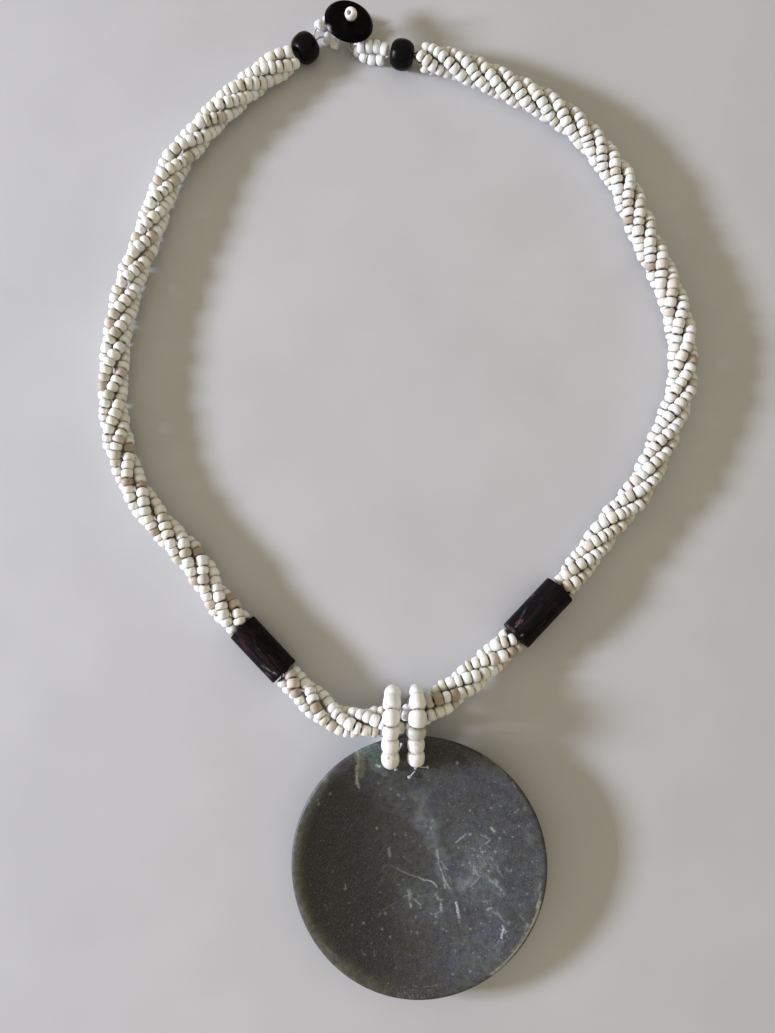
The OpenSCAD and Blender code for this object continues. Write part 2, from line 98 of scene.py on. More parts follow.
STEM_LOWER_ROUTE = (
    (-2.2, 113.6, 3.5), (-4.2, 113.4, 1.9), (-6.6, 113.6, 1.5), (-8.8, 114.2, 1.5),
    (-10.8, 115.9, 1.5), (-12.4, 116.5, 0.9), (-13.1, 118.4, 0.5), (-13.5, 120.3, 0.5),
)
LOOP_PLACES = (6.35, 9.2, 11.7, 14.2, 16.7, 19.4, 22.8, 27.5, 30)
STEM_UPPER_PLACES = (1.5, 3.6, 5.7, 7.8)
STEM_LOWER_PLACES = (3.1, 5.4, 7.7, 10)

# Where each bead of a bail loop starts, as X, Y and Z, and how wide it is
BAIL_LEFT = (
    (-2.1, -69.2, 9.4, 4.3), (-2.15, -65.5, 12.4, 4.2), (-2.1, -62.1, 13.9, 4),
    (-2, -59.2, 14.9, 4.2), (-1.9, -55.6, 14, 4.3), (-1.6, -53.1, 11.3, 4.1),
    (-1.5, -52.3, 7.9, 4.1), (-1.6, -53.5, 4.6, 4.2), (-1.8, -56.2, 2.5, 4.2),
    (-2, -59.8, 2.2, 4.2), (-2.1, -63.3, 2.2, 4.2), (-2.1, -66.8, 2.3, 4.2), (-2.1, -70.3, 2.3, 4.2),
)
BAIL_RIGHT = (
    (3.95, -68.9, 9.4, 4.2), (3.9, -65.4, 11.8, 4.1), (3.85, -62, 13.5, 4.5),
    (4, -59.4, 14.8, 4.4), (4.3, -55.5, 14.7, 3.9), (4.1, -52.6, 12.5, 3.5),
    (4, -51.8, 9.2, 3.5), (4, -52.6, 5.9, 3.7), (4, -54.6, 3, 4.2),
    (4, -57.6, 2.2, 4.2), (4, -61.2, 2.2, 4.2), (4, -64.8, 2.2, 4.2), (4, -68.4, 2.3, 4.2),
)

# Lengths along each run at which one strand after another lies on top
LEFT_CROSSINGS = (
    0.0, 10.1, 16.2, 24.1, 30.1, 38.7, 46.9, 53.5, 61.1, 68.6, 75.8, 84.3, 91.7, 98.5, 106.7, 113.8,
    120.4, 129.0, 137.8, 147.0, 153.9, 160.6, 169.9, 176.5,
)
FRONT_CROSSINGS = (2.8, 11.2, 21.3, 28.6, 36.8, 45.6, 53.9, 60.5, 67.7)
RIGHT_CROSSINGS = (
    0.0, 8.8, 16.0, 23.7, 31.2, 39.4, 46.8, 55.0, 62.6, 69.6, 78.6, 85.9, 92.5, 99.9, 106.7, 114.5,
    121.8, 127.9, 134.8, 142.7, 150.0, 156.6, 163.9, 169.6, 177.0, 183.5,
)


def unit(v: Array) -> Array:
    """Returns v at length one, along its last axis."""
    return v / np.linalg.norm(v, axis=-1, keepdims=True)


def smoothstep(low: float, high: float, x: Array) -> Array:
    """Returns 0 below low, 1 above high and a smooth rise between."""
    t = np.clip((x - low) / (high - low), 0, 1)
    return t * t * (3 - 2 * t)


def wander(rng: np.random.Generator, s: Array, wave: float) -> Array:
    """Makes a slow random swing along a length.

    Args:
        rng: Source of the random waves.
        s: Places along the length.
        wave: The longest of the waves.

    Returns:
        A value of about -1 to 1 for each place.
    """
    total = np.zeros_like(s)
    for part in WAVE_PARTS:
        total += part * np.sin(2 * np.pi * (s / (wave * part) + rng.random()))
    return total / WAVE_SUM


def ring_faces(rings: int, sides: int, closed: bool) -> list[list[int]]:
    """Joins rings of points into a skin.

    Args:
        rings: How many rings there are.
        sides: How many points each of them has.
        closed: Whether the last ring joins the first, as it does round a bore. If not, both ends get a cap.

    Returns:
        The faces, as rows of point numbers.
    """
    faces = [[i * sides + j, i * sides + (j + 1) % sides,
              (i + 1) % rings * sides + (j + 1) % sides, (i + 1) % rings * sides + j]
             for i in range(rings if closed else rings - 1) for j in range(sides)]
    if not closed:
        faces.append(list(range(sides - 1, -1, -1)))
        faces.append([(rings - 1) * sides + j for j in range(sides)])
    return faces


def carry(mesh: bpy.types.Mesh, name: str, values: Array) -> None:
    """Gives a mesh a value, or a colour of three or four parts, at every point for its finish to read.

    Args:
        mesh: The mesh.
        name: What the finish knows the values by.
        values: One number or one row of parts for each point.
    """
    if values.ndim == 1:
        mesh.attributes.new(name, "FLOAT", "POINT").data.foreach_set("value", values.astype(np.float32))
        return
    if values.shape[1] == 3:
        values = np.hstack([values, np.ones((len(values), 1))])
    colours = mesh.attributes.new(name, "FLOAT_COLOR", "POINT")
    colours.data.foreach_set("color", values.astype(np.float32).ravel())


def show(name: str, data: bpy.types.ID) -> bpy.types.Object:
    """Puts a mesh, a light or a camera in the scene.

    Args:
        name: Name of the object.
        data: What it shows.

    Returns:
        The object.
    """
    item = bpy.data.objects.new(name, data)
    bpy.context.scene.collection.objects.link(item)
    return item


class Tone(Enum):
    """The glass colours that turn up among the beads of the rope, as their own light."""

    WHITE = (0.80, 0.805, 0.78)
    IVORY = (0.78, 0.775, 0.735)
    CREAM = (0.74, 0.715, 0.65)
    OLIVE = (0.57, 0.555, 0.46)
    TAN = (0.60, 0.55, 0.465)
    ROSE = (0.63, 0.57, 0.515)
    BROWN = (0.40, 0.335, 0.265)


# Beads that stand out, by their glass: how far along the run and how far right of its middle each lies
LEFT_STAINS = {
    Tone.ROSE: ((25.4, -1.2), (120.2, -0.7), (160.4, 0)),
    Tone.TAN: ((16.9, 1.2), (29.3, -1.2), (39.2, -1.7), (49, -2.2), (50, 1), (63.6, -1),
        (67.9, 2.9), (69.9, -1.7), (72.8, -1.7), (86.3, 1.2), (87.9, 1), (100.7, -1.5), (102.7, 1),
        (123.3, 0.2), (124.9, 2), (142.8, -1.7), (153.3, -1), (158.9, 1.7), (166.6, 1.2),
        (172.1, -2.9)),
    Tone.CREAM: ((4.3, 1.5), (41.2, -0.5), (53.8, -0.7), (134.8, 1.5)),
    Tone.OLIVE: ((66.4, 2.2), (92.5, -0.7), (107.7, 0.2), (152, 2.7)),
    Tone.BROWN: ((105, 2), (121.9, -2.7), (130.5, -0.5), (132.3, -3.2), (143.9, 1.5), (155.6, -2.9),
        (169.6, -2.2)),
}
FRONT_STAINS = {
    Tone.ROSE: ((0.5, -3.2), (41.5, -2.5)),
    Tone.TAN: ((2.6, -0.5), (16.5, 1.2), (26.3, 1.5), (45.8, 3.2), (59.7, 0.7), (61, 2.2),
        (65.7, -2.2), (66.7, 1.5)),
    Tone.BROWN: ((6.1, 1.2), (11.4, -0.2), (42.8, -0.7), (46.4, 1.3), (63.9, 2.9)),
    Tone.OLIVE: ((14.8, 0.7), (55.1, -2)),
    Tone.CREAM: ((49.2, 0.7),),
}
RIGHT_STAINS = {
    Tone.CREAM: ((2.6, 1.7), (16.9, 0.2), (31, -3.2), (42, -1.7), (106, -0.2), (181.5, -1.7)),
    Tone.OLIVE: ((6.3, -3.4), (18.7, 2), (29.3, -1.7), (97.9, 0.5), (103.9, 2), (110.1, 2),
        (142.9, -2.9)),
    Tone.TAN: ((0.5, 1), (5.3, 1.7), (20, 1.5), (22.6, 2.5), (31, 3.7), (61.1, 2), (79.9, -2.5),
        (84.4, -1), (119.4, -0.7), (135, 2)),
    Tone.ROSE: ((12.9, -1.2), (45.8, 2.9), (87.5, 0), (92.3, -0.5), (111.5, -1.5), (141.8, 2.9)),
    Tone.BROWN: ((67.1, 1.2), (94.3, -1.5), (107.2, -3.4)),
}


class Route:
    """A smooth curve through given points, which is read by the length along it."""

    def __init__(self, points: tuple, step: float = 0.25) -> None:
        """Draws the curve.

        Args:
            points: The points in millimetres, as X, Y and Z, or X and Y at the level of the rope.
            step: Distance between two samples of the curve, in millimetres.
        """
        p = np.array([point if len(point) == 3 else (*point, ROPE_LEVEL) for point in points], float)
        before, after = 2 * p[0] - p[1], 2 * p[-1] - p[-2]
        q = np.vstack([before, p, after])
        rows = []
        for i in range(len(p) - 1):
            a, b, c, d = q[i:i + 4]
            n = max(1, round(np.linalg.norm(c - b) / step))
            t = (np.arange(n) / n)[:, None]
            rows.append(0.5 * (2 * b + (c - a) * t + (2 * a - 5 * b + 4 * c - d) * t ** 2
                               + (3 * b - a - 3 * c + d) * t ** 3))
        self.points = np.vstack(rows + [p[-1:]]) * MM
        self.runs = np.r_[0, np.cumsum(np.linalg.norm(np.diff(self.points, axis=0), axis=1))]
        self.length = self.runs[-1]
        self.ahead = unit(np.gradient(self.points, axis=0))
        self.side = unit(np.cross(self.ahead, (0, 0, 1)))
        self.up = np.cross(self.side, self.ahead)

    def read(self, values: Array, s: Array) -> Array:
        """Returns one of the curve's vectors at the lengths s."""
        return np.stack([np.interp(s, self.runs, values[:, k]) for k in range(3)], axis=-1)


class Pile:
    """Gathers many closed forms into one mesh, with a colour at every point and a value for its dirt, wear,
    painted shade and painted highlight.
    """

    def __init__(self) -> None:
        """Starts an empty pile."""
        self.points: list[Array] = []
        self.faces: list[list[int]] = []
        self.tones: list[Array] = []
        self.dirt_wear_and_painted_light: list[Array] = []
        self.count = 0

    def add(self, points: Array, faces: list, tone: Array, dirt_wear_and_painted_light: Array) -> None:
        """Puts one form on the pile.

        Args:
            points: Its points, one a row.
            faces: Its faces, as rows of point numbers.
            tone: One colour for the form, or one for each point.
            dirt_wear_and_painted_light: How much dirt, wear, painted shade and painted highlight there is,
                one value for the form, or one for each point.
        """
        n = len(points)
        self.points.append(points)
        self.faces.extend([[k + self.count for k in face] for face in faces])
        self.tones.append(np.broadcast_to(np.asarray(tone, float), (n, 3)))
        self.dirt_wear_and_painted_light.append(np.broadcast_to(np.asarray(dirt_wear_and_painted_light, float), (n,)))
        self.count += n

    def tube(self, path: Array, radius: float | Array, tone: tuple, sides: int = 8) -> None:
        """Adds a round thread along a path, closed at both ends.

        Args:
            path: The points that the thread's middle follows.
            radius: The thread's radius, or one for each point.
            tone: The thread's colour.
            sides: Number of sides of its section.
        """
        ahead = unit(np.gradient(path, axis=0))
        side = np.zeros_like(path)
        last = np.cross(ahead[0], (0.3, 0.2, 1.0))
        for i, t in enumerate(ahead):
            last = unit(last - t * (last @ t))
            side[i] = last
        up = np.cross(ahead, side)
        r = np.broadcast_to(np.asarray(radius, float), (len(path),))[:, None, None]
        a = 2 * np.pi * np.arange(sides) / sides
        ring = np.cos(a)[None, :, None] * side[:, None] + np.sin(a)[None, :, None] * up[:, None]
        points = (path[:, None] + r * ring).reshape(-1, 3)
        self.add(points, ring_faces(len(path), sides, closed=False), tone, 0.0)

    def build(self, name: str, material: Material, slot: str, *nodes: str) -> bpy.types.Object:
        """Makes the pile into one piece that rides with the necklace.

        Args:
            name: Name of the piece.
            material: Its finish.
            slot: The record's material slot; not used.
            nodes: The solids that the piece stands for.

        Returns:
            The piece.
        """
        mesh = bpy.data.meshes.new(name)
        mesh.from_pydata(np.vstack(self.points).tolist(), [], self.faces)
        carry(mesh, "tone", np.vstack(self.tones))
        carry(mesh, "dirt_wear_and_painted_light", np.concatenate(self.dirt_wear_and_painted_light))
        mesh.polygons.foreach_set("use_smooth", np.ones(len(mesh.polygons), bool))
        mesh.materials.append(material)
        mesh.update()
        piece = show(name, mesh)
        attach(piece, "root")
        if nodes:
            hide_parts(*nodes)
        LOG.info("%s: %d points, %d faces", name, self.count, len(self.faces))
        return piece


class Dye:
    """A finish's node tree, with one method for each kind of node that the finishes use."""

    FIRST_COLOUR, SECOND_COLOUR, MIXED_COLOUR = 6, 7, 2

    def __init__(self, name: str, **sockets: float | tuple) -> None:
        """Makes the material and sets what is the same all over its surface.

        Args:
            name: Name of the finish.
            sockets: Values for the shader's sockets, named with underscores for spaces.
        """
        self.material = bpy.data.materials.new(name)
        self.material.use_nodes = True
        self.tree = self.material.node_tree
        self.shader = self.tree.nodes["Principled BSDF"]
        self.where = self.tree.nodes.new("ShaderNodeTexCoord").outputs["Object"]
        for key, value in sockets.items():
            self.link(value, self.shader.inputs[key.replace("_", " ")])

    def link(self, value: object, socket: Socket) -> None:
        """Joins a socket to another, or sets it.

        Args:
            value: Another socket, a number or a colour.
            socket: The socket that takes it.
        """
        if isinstance(value, Socket):
            self.tree.links.new(value, socket)
        elif len(np.shape(value)) and socket.type == "RGBA":
            socket.default_value = (*value, 1.0)
        else:
            socket.default_value = value

    def turned(self, turn: float, scale: tuple) -> Socket:
        """Turns and stretches the pattern's space, for a grain that runs one way.

        Args:
            turn: Direction of the grain, in degrees from X.
            scale: How the space is scaled along and across it.

        Returns:
            The surface's place in that space.
        """
        turner = self.tree.nodes.new("ShaderNodeVectorRotate")
        turner.rotation_type = "Z_AXIS"
        turner.inputs["Angle"].default_value = math.radians(-turn)
        self.link(self.where, turner.inputs["Vector"])
        sizer = self.tree.nodes.new("ShaderNodeVectorMath")
        sizer.operation = "MULTIPLY"
        self.link(turner.outputs["Vector"], sizer.inputs[0])
        sizer.inputs[1].default_value = scale
        return sizer.outputs["Vector"]

    def noise(self, scale: float, detail: float = 2.0, where: Socket | None = None,
              distortion: float = 0.0) -> Socket:
        """Makes a soft random pattern.

        Args:
            scale: How many patches lie along a metre.
            detail: How many finer layers it has.
            where: The space it lies in, or the object's own.
            distortion: How much it is swirled.

        Returns:
            Its value, 0 to 1.
        """
        node = self.tree.nodes.new("ShaderNodeTexNoise")
        self.link(where or self.where, node.inputs["Vector"])
        node.inputs["Scale"].default_value = scale
        node.inputs["Detail"].default_value = detail
        node.inputs["Distortion"].default_value = distortion
        return node.outputs["Fac"]

    def read(self, name: str, output: str = "Fac") -> Socket:
        """Reads what the mesh carries at its points.

        Args:
            name: Name that it is carried under.
            output: Fac, Color or Alpha.

        Returns:
            The value or colour.
        """
        node = self.tree.nodes.new("ShaderNodeAttribute")
        node.attribute_name = name
        return node.outputs[output]

    def span(self, value: Socket, low: float, high: float, first: float = 0.0,
             last: float = 1.0) -> Socket:
        """Carries a value from one span onto another and stops at its ends.

        Args:
            value: The value.
            low: Start of its span.
            high: End of its span.
            first: What the start becomes.
            last: What the end becomes.

        Returns:
            The value on the new span.
        """
        node = self.tree.nodes.new("ShaderNodeMapRange")
        self.link(value, node.inputs["Value"])
        for key, number in (("From Min", low), ("From Max", high), ("To Min", first), ("To Max", last)):
            node.inputs[key].default_value = number
        return node.outputs["Result"]

    def work(self, operation: str, a: object, b: object) -> Socket:
        """Works two values together.

        Args:
            operation: What is done with them.
            a: The first value.
            b: The second value.

        Returns:
            What comes of it, kept within 0 to 1.
        """
        node = self.tree.nodes.new("ShaderNodeMath")
        node.operation = operation
        node.use_clamp = True
        self.link(a, node.inputs[0])
        self.link(b, node.inputs[1])
        return node.outputs["Value"]

    def times(self, a: object, b: object) -> Socket:
        """Returns the product of two values."""
        return self.work("MULTIPLY", a, b)

    def plus(self, a: object, b: object) -> Socket:
        """Returns the sum of two values."""
        return self.work("ADD", a, b)

    def mix(self, amount: object, a: object, b: object, blend: str = "MIX") -> Socket:
        """Mixes two colours.

        Args:
            amount: How much of the second goes in, 0 to 1.
            a: The first colour.
            b: The second colour.
            blend: How they are blended.

        Returns:
            The mixed colour.
        """
        node = self.tree.nodes.new("ShaderNodeMix")
        node.data_type = "RGBA"
        node.blend_type = blend
        self.link(amount, node.inputs[0])
        self.link(a, node.inputs[self.FIRST_COLOUR])
        self.link(b, node.inputs[self.SECOND_COLOUR])
        return node.outputs[self.MIXED_COLOUR]

    def veil(self, body: object, tint: tuple, value: Socket, low: float, high: float,
             most: float = 1.0) -> Socket:
        """Lays a tint over a colour where a value is high.

        Args:
            body: The colour under it.
            tint: The tint's colour.
            value: What it goes by.
            low: Value at which the tint starts.
            high: Value from which it is thickest.
            most: How much of it there is then, 0 to 1.

        Returns:
            The colour with its tint.
        """
        return self.mix(self.span(value, low, high, 0.0, most), body, tint)

    def bump(self, height: Socket, strength: float, distance: float) -> None:
        """Roughens the surface.

        Args:
            height: The height at each place, 0 to 1.
            strength: How strongly it shows.
            distance: The depth that a height of 1 stands for, in metres.
        """
        node = self.tree.nodes.new("ShaderNodeBump")
        node.inputs["Strength"].default_value = strength
        node.inputs["Distance"].default_value = distance
        self.link(height, node.inputs["Height"])
        self.link(node.outputs["Normal"], self.shader.inputs["Normal"])

    def colour(self, value: object) -> None:
        """Gives the surface its colour."""
        self.link(value, self.shader.inputs["Base Color"])

    def roughness(self, value: object) -> None:
        """Gives the surface its roughness."""
        self.link(value, self.shader.inputs["Roughness"])


@dataclass(frozen=True)
class BeadGlass:
    """Opaque glass of a bead, dusted with fine grain, and brown where its mesh carries painted shade and
    dirt in the crevices.
    """

    name: str
    roughness: float
    grain: float
    brown: Triple = (0.22, 0.125, 0.06)

    def material(self) -> Material:
        """Makes the finish.

        Returns:
            The finish, which takes each bead's colour from its mesh.
        """
        dye = Dye(self.name, IOR=1.5, Subsurface_Weight=0.8, Subsurface_Scale=1.2 * MM,
                  Subsurface_Radius=(1.0, 0.95, 0.88), Diffuse_Roughness=0.6)
        patches = dye.noise(900, 3)
        body = dye.veil(dye.read("tone", "Color"), (0.62, 0.55, 0.43), patches, 0.35, 0.75, 0.16)
        body = dye.veil(body, (0.45, 0.38, 0.30), dye.noise(5200, 2), 0.55, 0.75, 0.10)
        # Brown painted shade, with some dirt, where the mesh carries it: in the crevices at the bead's ends
        # and on its hidden side.
        stain = dye.times(dye.read("dirt_wear_and_painted_light"), dye.span(dye.noise(1400, 3), 0.3, 0.62, 0.45, 1.0))
        dye.colour(dye.mix(stain, body, self.brown))
        dye.roughness(dye.span(patches, 0.3, 0.7, self.roughness - 0.06, self.roughness + 0.08))
        dye.bump(dye.noise(3600, 3), self.grain, 0.06 * MM)
        return dye.material


@dataclass(frozen=True)
class DarkWood:
    """Near-black wood with its grain along the bead, worn in places to a purple brown."""

    name: str
    turn: float

    def material(self) -> Material:
        """Makes the finish.

        Returns:
            The finish.
        """
        dye = Dye(self.name, IOR=1.48, Specular_IOR_Level=0.07)
        along = dye.turned(self.turn, (0.16, 1.0, 1.0))
        grain = dye.noise(1900, 4, along)
        blotch = dye.noise(230, 3)
        base = dye.veil((0.0014, 0.0014, 0.0017), (0.0075, 0.0055, 0.0062), grain, 0.35, 0.7)
        worn = dye.times(dye.span(blotch, 0.52, 0.68), dye.span(grain, 0.42, 0.62))
        base = dye.mix(dye.times(worn, 0.5), base, (0.045, 0.018, 0.021))
        flecks = dye.span(dye.noise(2600, 2, dye.turned(self.turn, (0.35, 1.0, 1.0))), 0.715, 0.76)
        chipped = dye.times(flecks, dye.span(dye.noise(160, 2), 0.5, 0.62))
        base = dye.mix(dye.times(chipped, 0.75), base, (0.30, 0.25, 0.23))
        base = dye.veil(base, (0.055, 0.046, 0.050), dye.noise(4200, 2), 0.5, 0.75, 0.22)
        # Worn places and one painted highlight, as the mesh carries them, in the mesh's colour.
        wear_and_painted_highlight = dye.times(dye.read("dirt_wear_and_painted_light"), dye.span(dye.noise(3000, 3), 0.4, 0.58, 0.15, 1.0))
        dye.colour(dye.mix(wear_and_painted_highlight, base, dye.read("tone", "Color")))
        dye.roughness(dye.span(grain, 0.3, 0.7, 0.36, 0.56))
        rough = dye.plus(dye.times(grain, 0.7), dye.times(blotch, 0.3))
        dye.bump(rough, 0.45, 0.16 * MM)
        return dye.material


@dataclass(frozen=True)
class PolishedWood:
    """Black wood polished to a soft gloss."""

    name: str
    gloss: float

    def material(self) -> Material:
        """Makes the finish.

        Returns:
            The finish.
        """
        dye = Dye(self.name, IOR=1.52, Specular_IOR_Level=self.gloss)
        grain = dye.noise(1500, 3, dye.turned(30, (0.3, 1.0, 1.0)))
        patches = dye.noise(320, 3)
        base = dye.veil((0.0012, 0.0011, 0.0014), (0.0038, 0.0032, 0.0037), grain, 0.4, 0.7)
        # The button's painted highlight, as the mesh carries it, in the mesh's colour.
        wear_and_painted_highlight = dye.times(dye.read("dirt_wear_and_painted_light"), dye.span(dye.noise(1300, 3), 0.35, 0.6, 0.25, 0.9))
        dye.colour(dye.mix(wear_and_painted_highlight, base, dye.read("tone", "Color")))
        dye.roughness(dye.span(patches, 0.3, 0.7, 0.24, 0.38))
        dye.bump(dye.noise(700, 4), 0.25, 0.1 * MM)
        return dye.material


@dataclass(frozen=True)
class GroundShell:
    """The slate-grey ground side of the shell, painted point by point and speckled with pale marks."""

    name: str

    def material(self) -> Material:
        """Makes the finish.

        Returns:
            The finish, which takes its painted colours from the mesh.
        """
        dye = Dye(self.name, IOR=1.55, Specular_IOR_Level=0.3)
        cloudy = dye.noise(150, 5, distortion=0.4)
        mottle = dye.noise(720, 5)
        hue = dye.noise(260, 3)
        fine = dye.noise(3400, 2)
        body = dye.veil(dye.read("paint", "Color"), (0.026, 0.024, 0.024), cloudy, 0.35, 0.65, 0.22)
        for patch, light, low in ((hue, (0.96, 0.99, 1.15), (1.02, 1.05, 0.93)),
                                  (dye.noise(1100, 3), (1.10, 0.99, 1.06), (0.94, 1.02, 0.99))):
            body = dye.mix(dye.span(patch, 0.50, 0.62), body, light, "MULTIPLY")
            body = dye.mix(dye.span(patch, 0.50, 0.38), body, low, "MULTIPLY")
        body = dye.mix(dye.span(mottle, 0.38, 0.60, 0.45, 0.0), body, (0.014, 0.013, 0.014))
        body = dye.veil(body, (0.21, 0.215, 0.215), fine, 0.45, 0.68, 0.20)
        brushed = dye.noise(2600, 2, dye.turned(62, (0.10, 1.0, 1.0)))
        body = dye.veil(body, (0.15, 0.155, 0.155), brushed, 0.60, 0.74, 0.28)
        broken = dye.span(dye.noise(2100, 3), 0.38, 0.56, 0.45, 1.0)
        laid = dye.times(dye.read("mark", "Alpha"), broken)
        body = dye.mix(laid, body, dye.read("mark", "Color"))
        thick = dye.times(dye.read("speck"), 0.17)
        for size, first in ((2500, 0.72), (1250, 0.76)):
            dots = dye.span(dye.plus(dye.noise(size, 2), thick), first, first + 0.07)
            body = dye.mix(dye.times(dots, 0.6), body, (0.34, 0.38, 0.37))
        dye.colour(body)
        dye.roughness(dye.span(mottle, 0.3, 0.7, 0.42, 0.58))
        rough = dye.plus(dye.times(mottle, 0.6), dye.times(fine, 0.4))
        dye.bump(rough, 0.3, 0.09 * MM)
        return dye.material


@dataclass(frozen=True)
class Thread:
    """Beading thread or nylon line."""

    name: str
    base: Triple
    roughness: float
    clear: float = 0.0

    def material(self) -> Material:
        """Makes the finish.

        Returns:
            The finish.
        """
        dye = Dye(self.name, IOR=1.45, Transmission_Weight=self.clear)
        dark = tuple(0.6 * part for part in self.base)
        dye.colour(dye.veil(self.base, dark, dye.noise(2500, 3), 0.35, 0.7))
        dye.roughness(dye.span(dye.noise(1200, 2), 0.3, 0.7, self.roughness - 0.08, self.roughness + 0.08))
        dye.bump(dye.noise(6000, 2), 0.4, 0.05 * MM)
        return dye.material


@dataclass(frozen=True)
class BeadForm:
    """The shape that drilled barrel beads share: a rounded tube with a bore and slightly uneven ends."""

    sides: int = 18
    rings: int = 9
    bore: float = 1.1 * MM
    uneven: float = 1.0
    square: tuple[float, float] = (0.46, 0.70)
    reach: float = 78.0
    wall: float = 0.05 * MM
    lumps: tuple[float, float] = (0.016, 0.011)
    skew: float = 0.07
    taper: float = 0.04
    shoulder: float = 0.06
    bore_end: float = 0.96
    end_shade_and_dirt: float = 0.85
    end_band: tuple[float, float] = (0.84, 0.16)
    end_fade: float = 1.6
    back_shade_and_dirt: float = 0.9
    back_band: tuple[float, float] = (-0.05, 0.8)

    def faces(self) -> list[list[int]]:
        """Returns the faces of one bead, whose last two rings line the bore."""
        return ring_faces(self.rings + 2, self.sides, closed=True)

    def section(self, width: float, length: float, power: float) -> tuple[Array, Array]:
        """Draws the closed line that is turned about the bore.

        Args:
            width: The bead's diameter.
            length: Its length along the bore.
            power: How square its shoulders are, from 0 for a plain tube to 1 for a ball.

        Returns:
            Each ring's radius and its place along the bore.
        """
        a = np.radians(np.linspace(-self.reach, self.reach, self.rings))
        r = width / 2 * np.cos(a) ** power
        rise = np.abs(np.sin(a)) / math.sin(math.radians(self.reach))
        z = length / 2 * np.sign(a) * rise ** (power + self.shoulder)
        r = np.maximum(r, self.bore / 2 + self.wall)
        end = self.bore_end * length / 2
        return np.r_[r, self.bore / 2, self.bore / 2], np.r_[z, end, -end]

    def bead(self, rng: np.random.Generator, centre: Array, axis: Array, outward: Array, width: float,
             length: float, lean: tuple[float, float] = (0.0, 0.0)) -> tuple[Array, Array]:
        """Shapes one bead.

        Args:
            rng: Source of its unevenness.
            centre: Its middle.
            axis: Direction of its bore.
            outward: Direction that faces away from the string or rope it belongs to.
            width: Its diameter.
            length: Its length along the bore.
            lean: How far each end reaches out further on the outward side, as a part of the radius.

        Returns:
            Its points, and the brown painted shade and dirt at each of them.
        """
        axis = unit(axis)
        out = unit(outward - axis * (outward @ axis))
        across = np.cross(axis, out)
        r, z = self.section(width, length, rng.uniform(*self.square))
        theta = 2 * np.pi * np.arange(self.sides) / self.sides
        p = rng.uniform(0, 2 * np.pi, 4)
        u = self.uneven
        low, high = self.lumps
        lumps = 1 + u * (low * np.sin(2 * theta + p[0]) + high * np.sin(3 * theta + p[1]))
        skew = u * self.skew * length * np.cos(theta + p[2])
        fat = 1 + u * self.taper * math.sin(p[3]) * z / (length / 2)
        rr = (r * fat)[:, None] * lumps[None, :]
        part = z / (length / 2)
        zz = z[:, None] + skew[None, :] * part[:, None] * 0.5
        zz += rr * np.cos(theta)[None, :] * (np.where(part > 0, lean[1], lean[0]) * part)[:, None]
        spokes = np.cos(theta)[:, None] * out + np.sin(theta)[:, None] * across
        points = centre + rr[..., None] * spokes[None] + zz[..., None] * axis
        # Painted shade with some dirt: brown towards the ends, where the bead meets its neighbours, and on
        # the side turned away from the given outward direction.
        clean, band = self.end_band
        end = np.clip((np.abs(z) / (length / 2) - clean) / band, 0, 1) ** self.end_fade
        end[-2:] = 1.0
        back = smoothstep(*self.back_band, -np.cos(theta)) * self.back_shade_and_dirt
        dirt_wear_and_painted_light = np.maximum(self.end_shade_and_dirt * end[:, None], back[None, :])
        return points.reshape(-1, 3), dirt_wear_and_painted_light.ravel()


@dataclass
class SeedBead:
    """One bead of the rope before it is shaped: its place, its size and its glass."""

    strand: int
    rng: np.random.Generator
    centre: Array
    axis: Array
    out: Array
    width: float
    length: float
    along: float
    right: float
    wear: float
    tone: Array


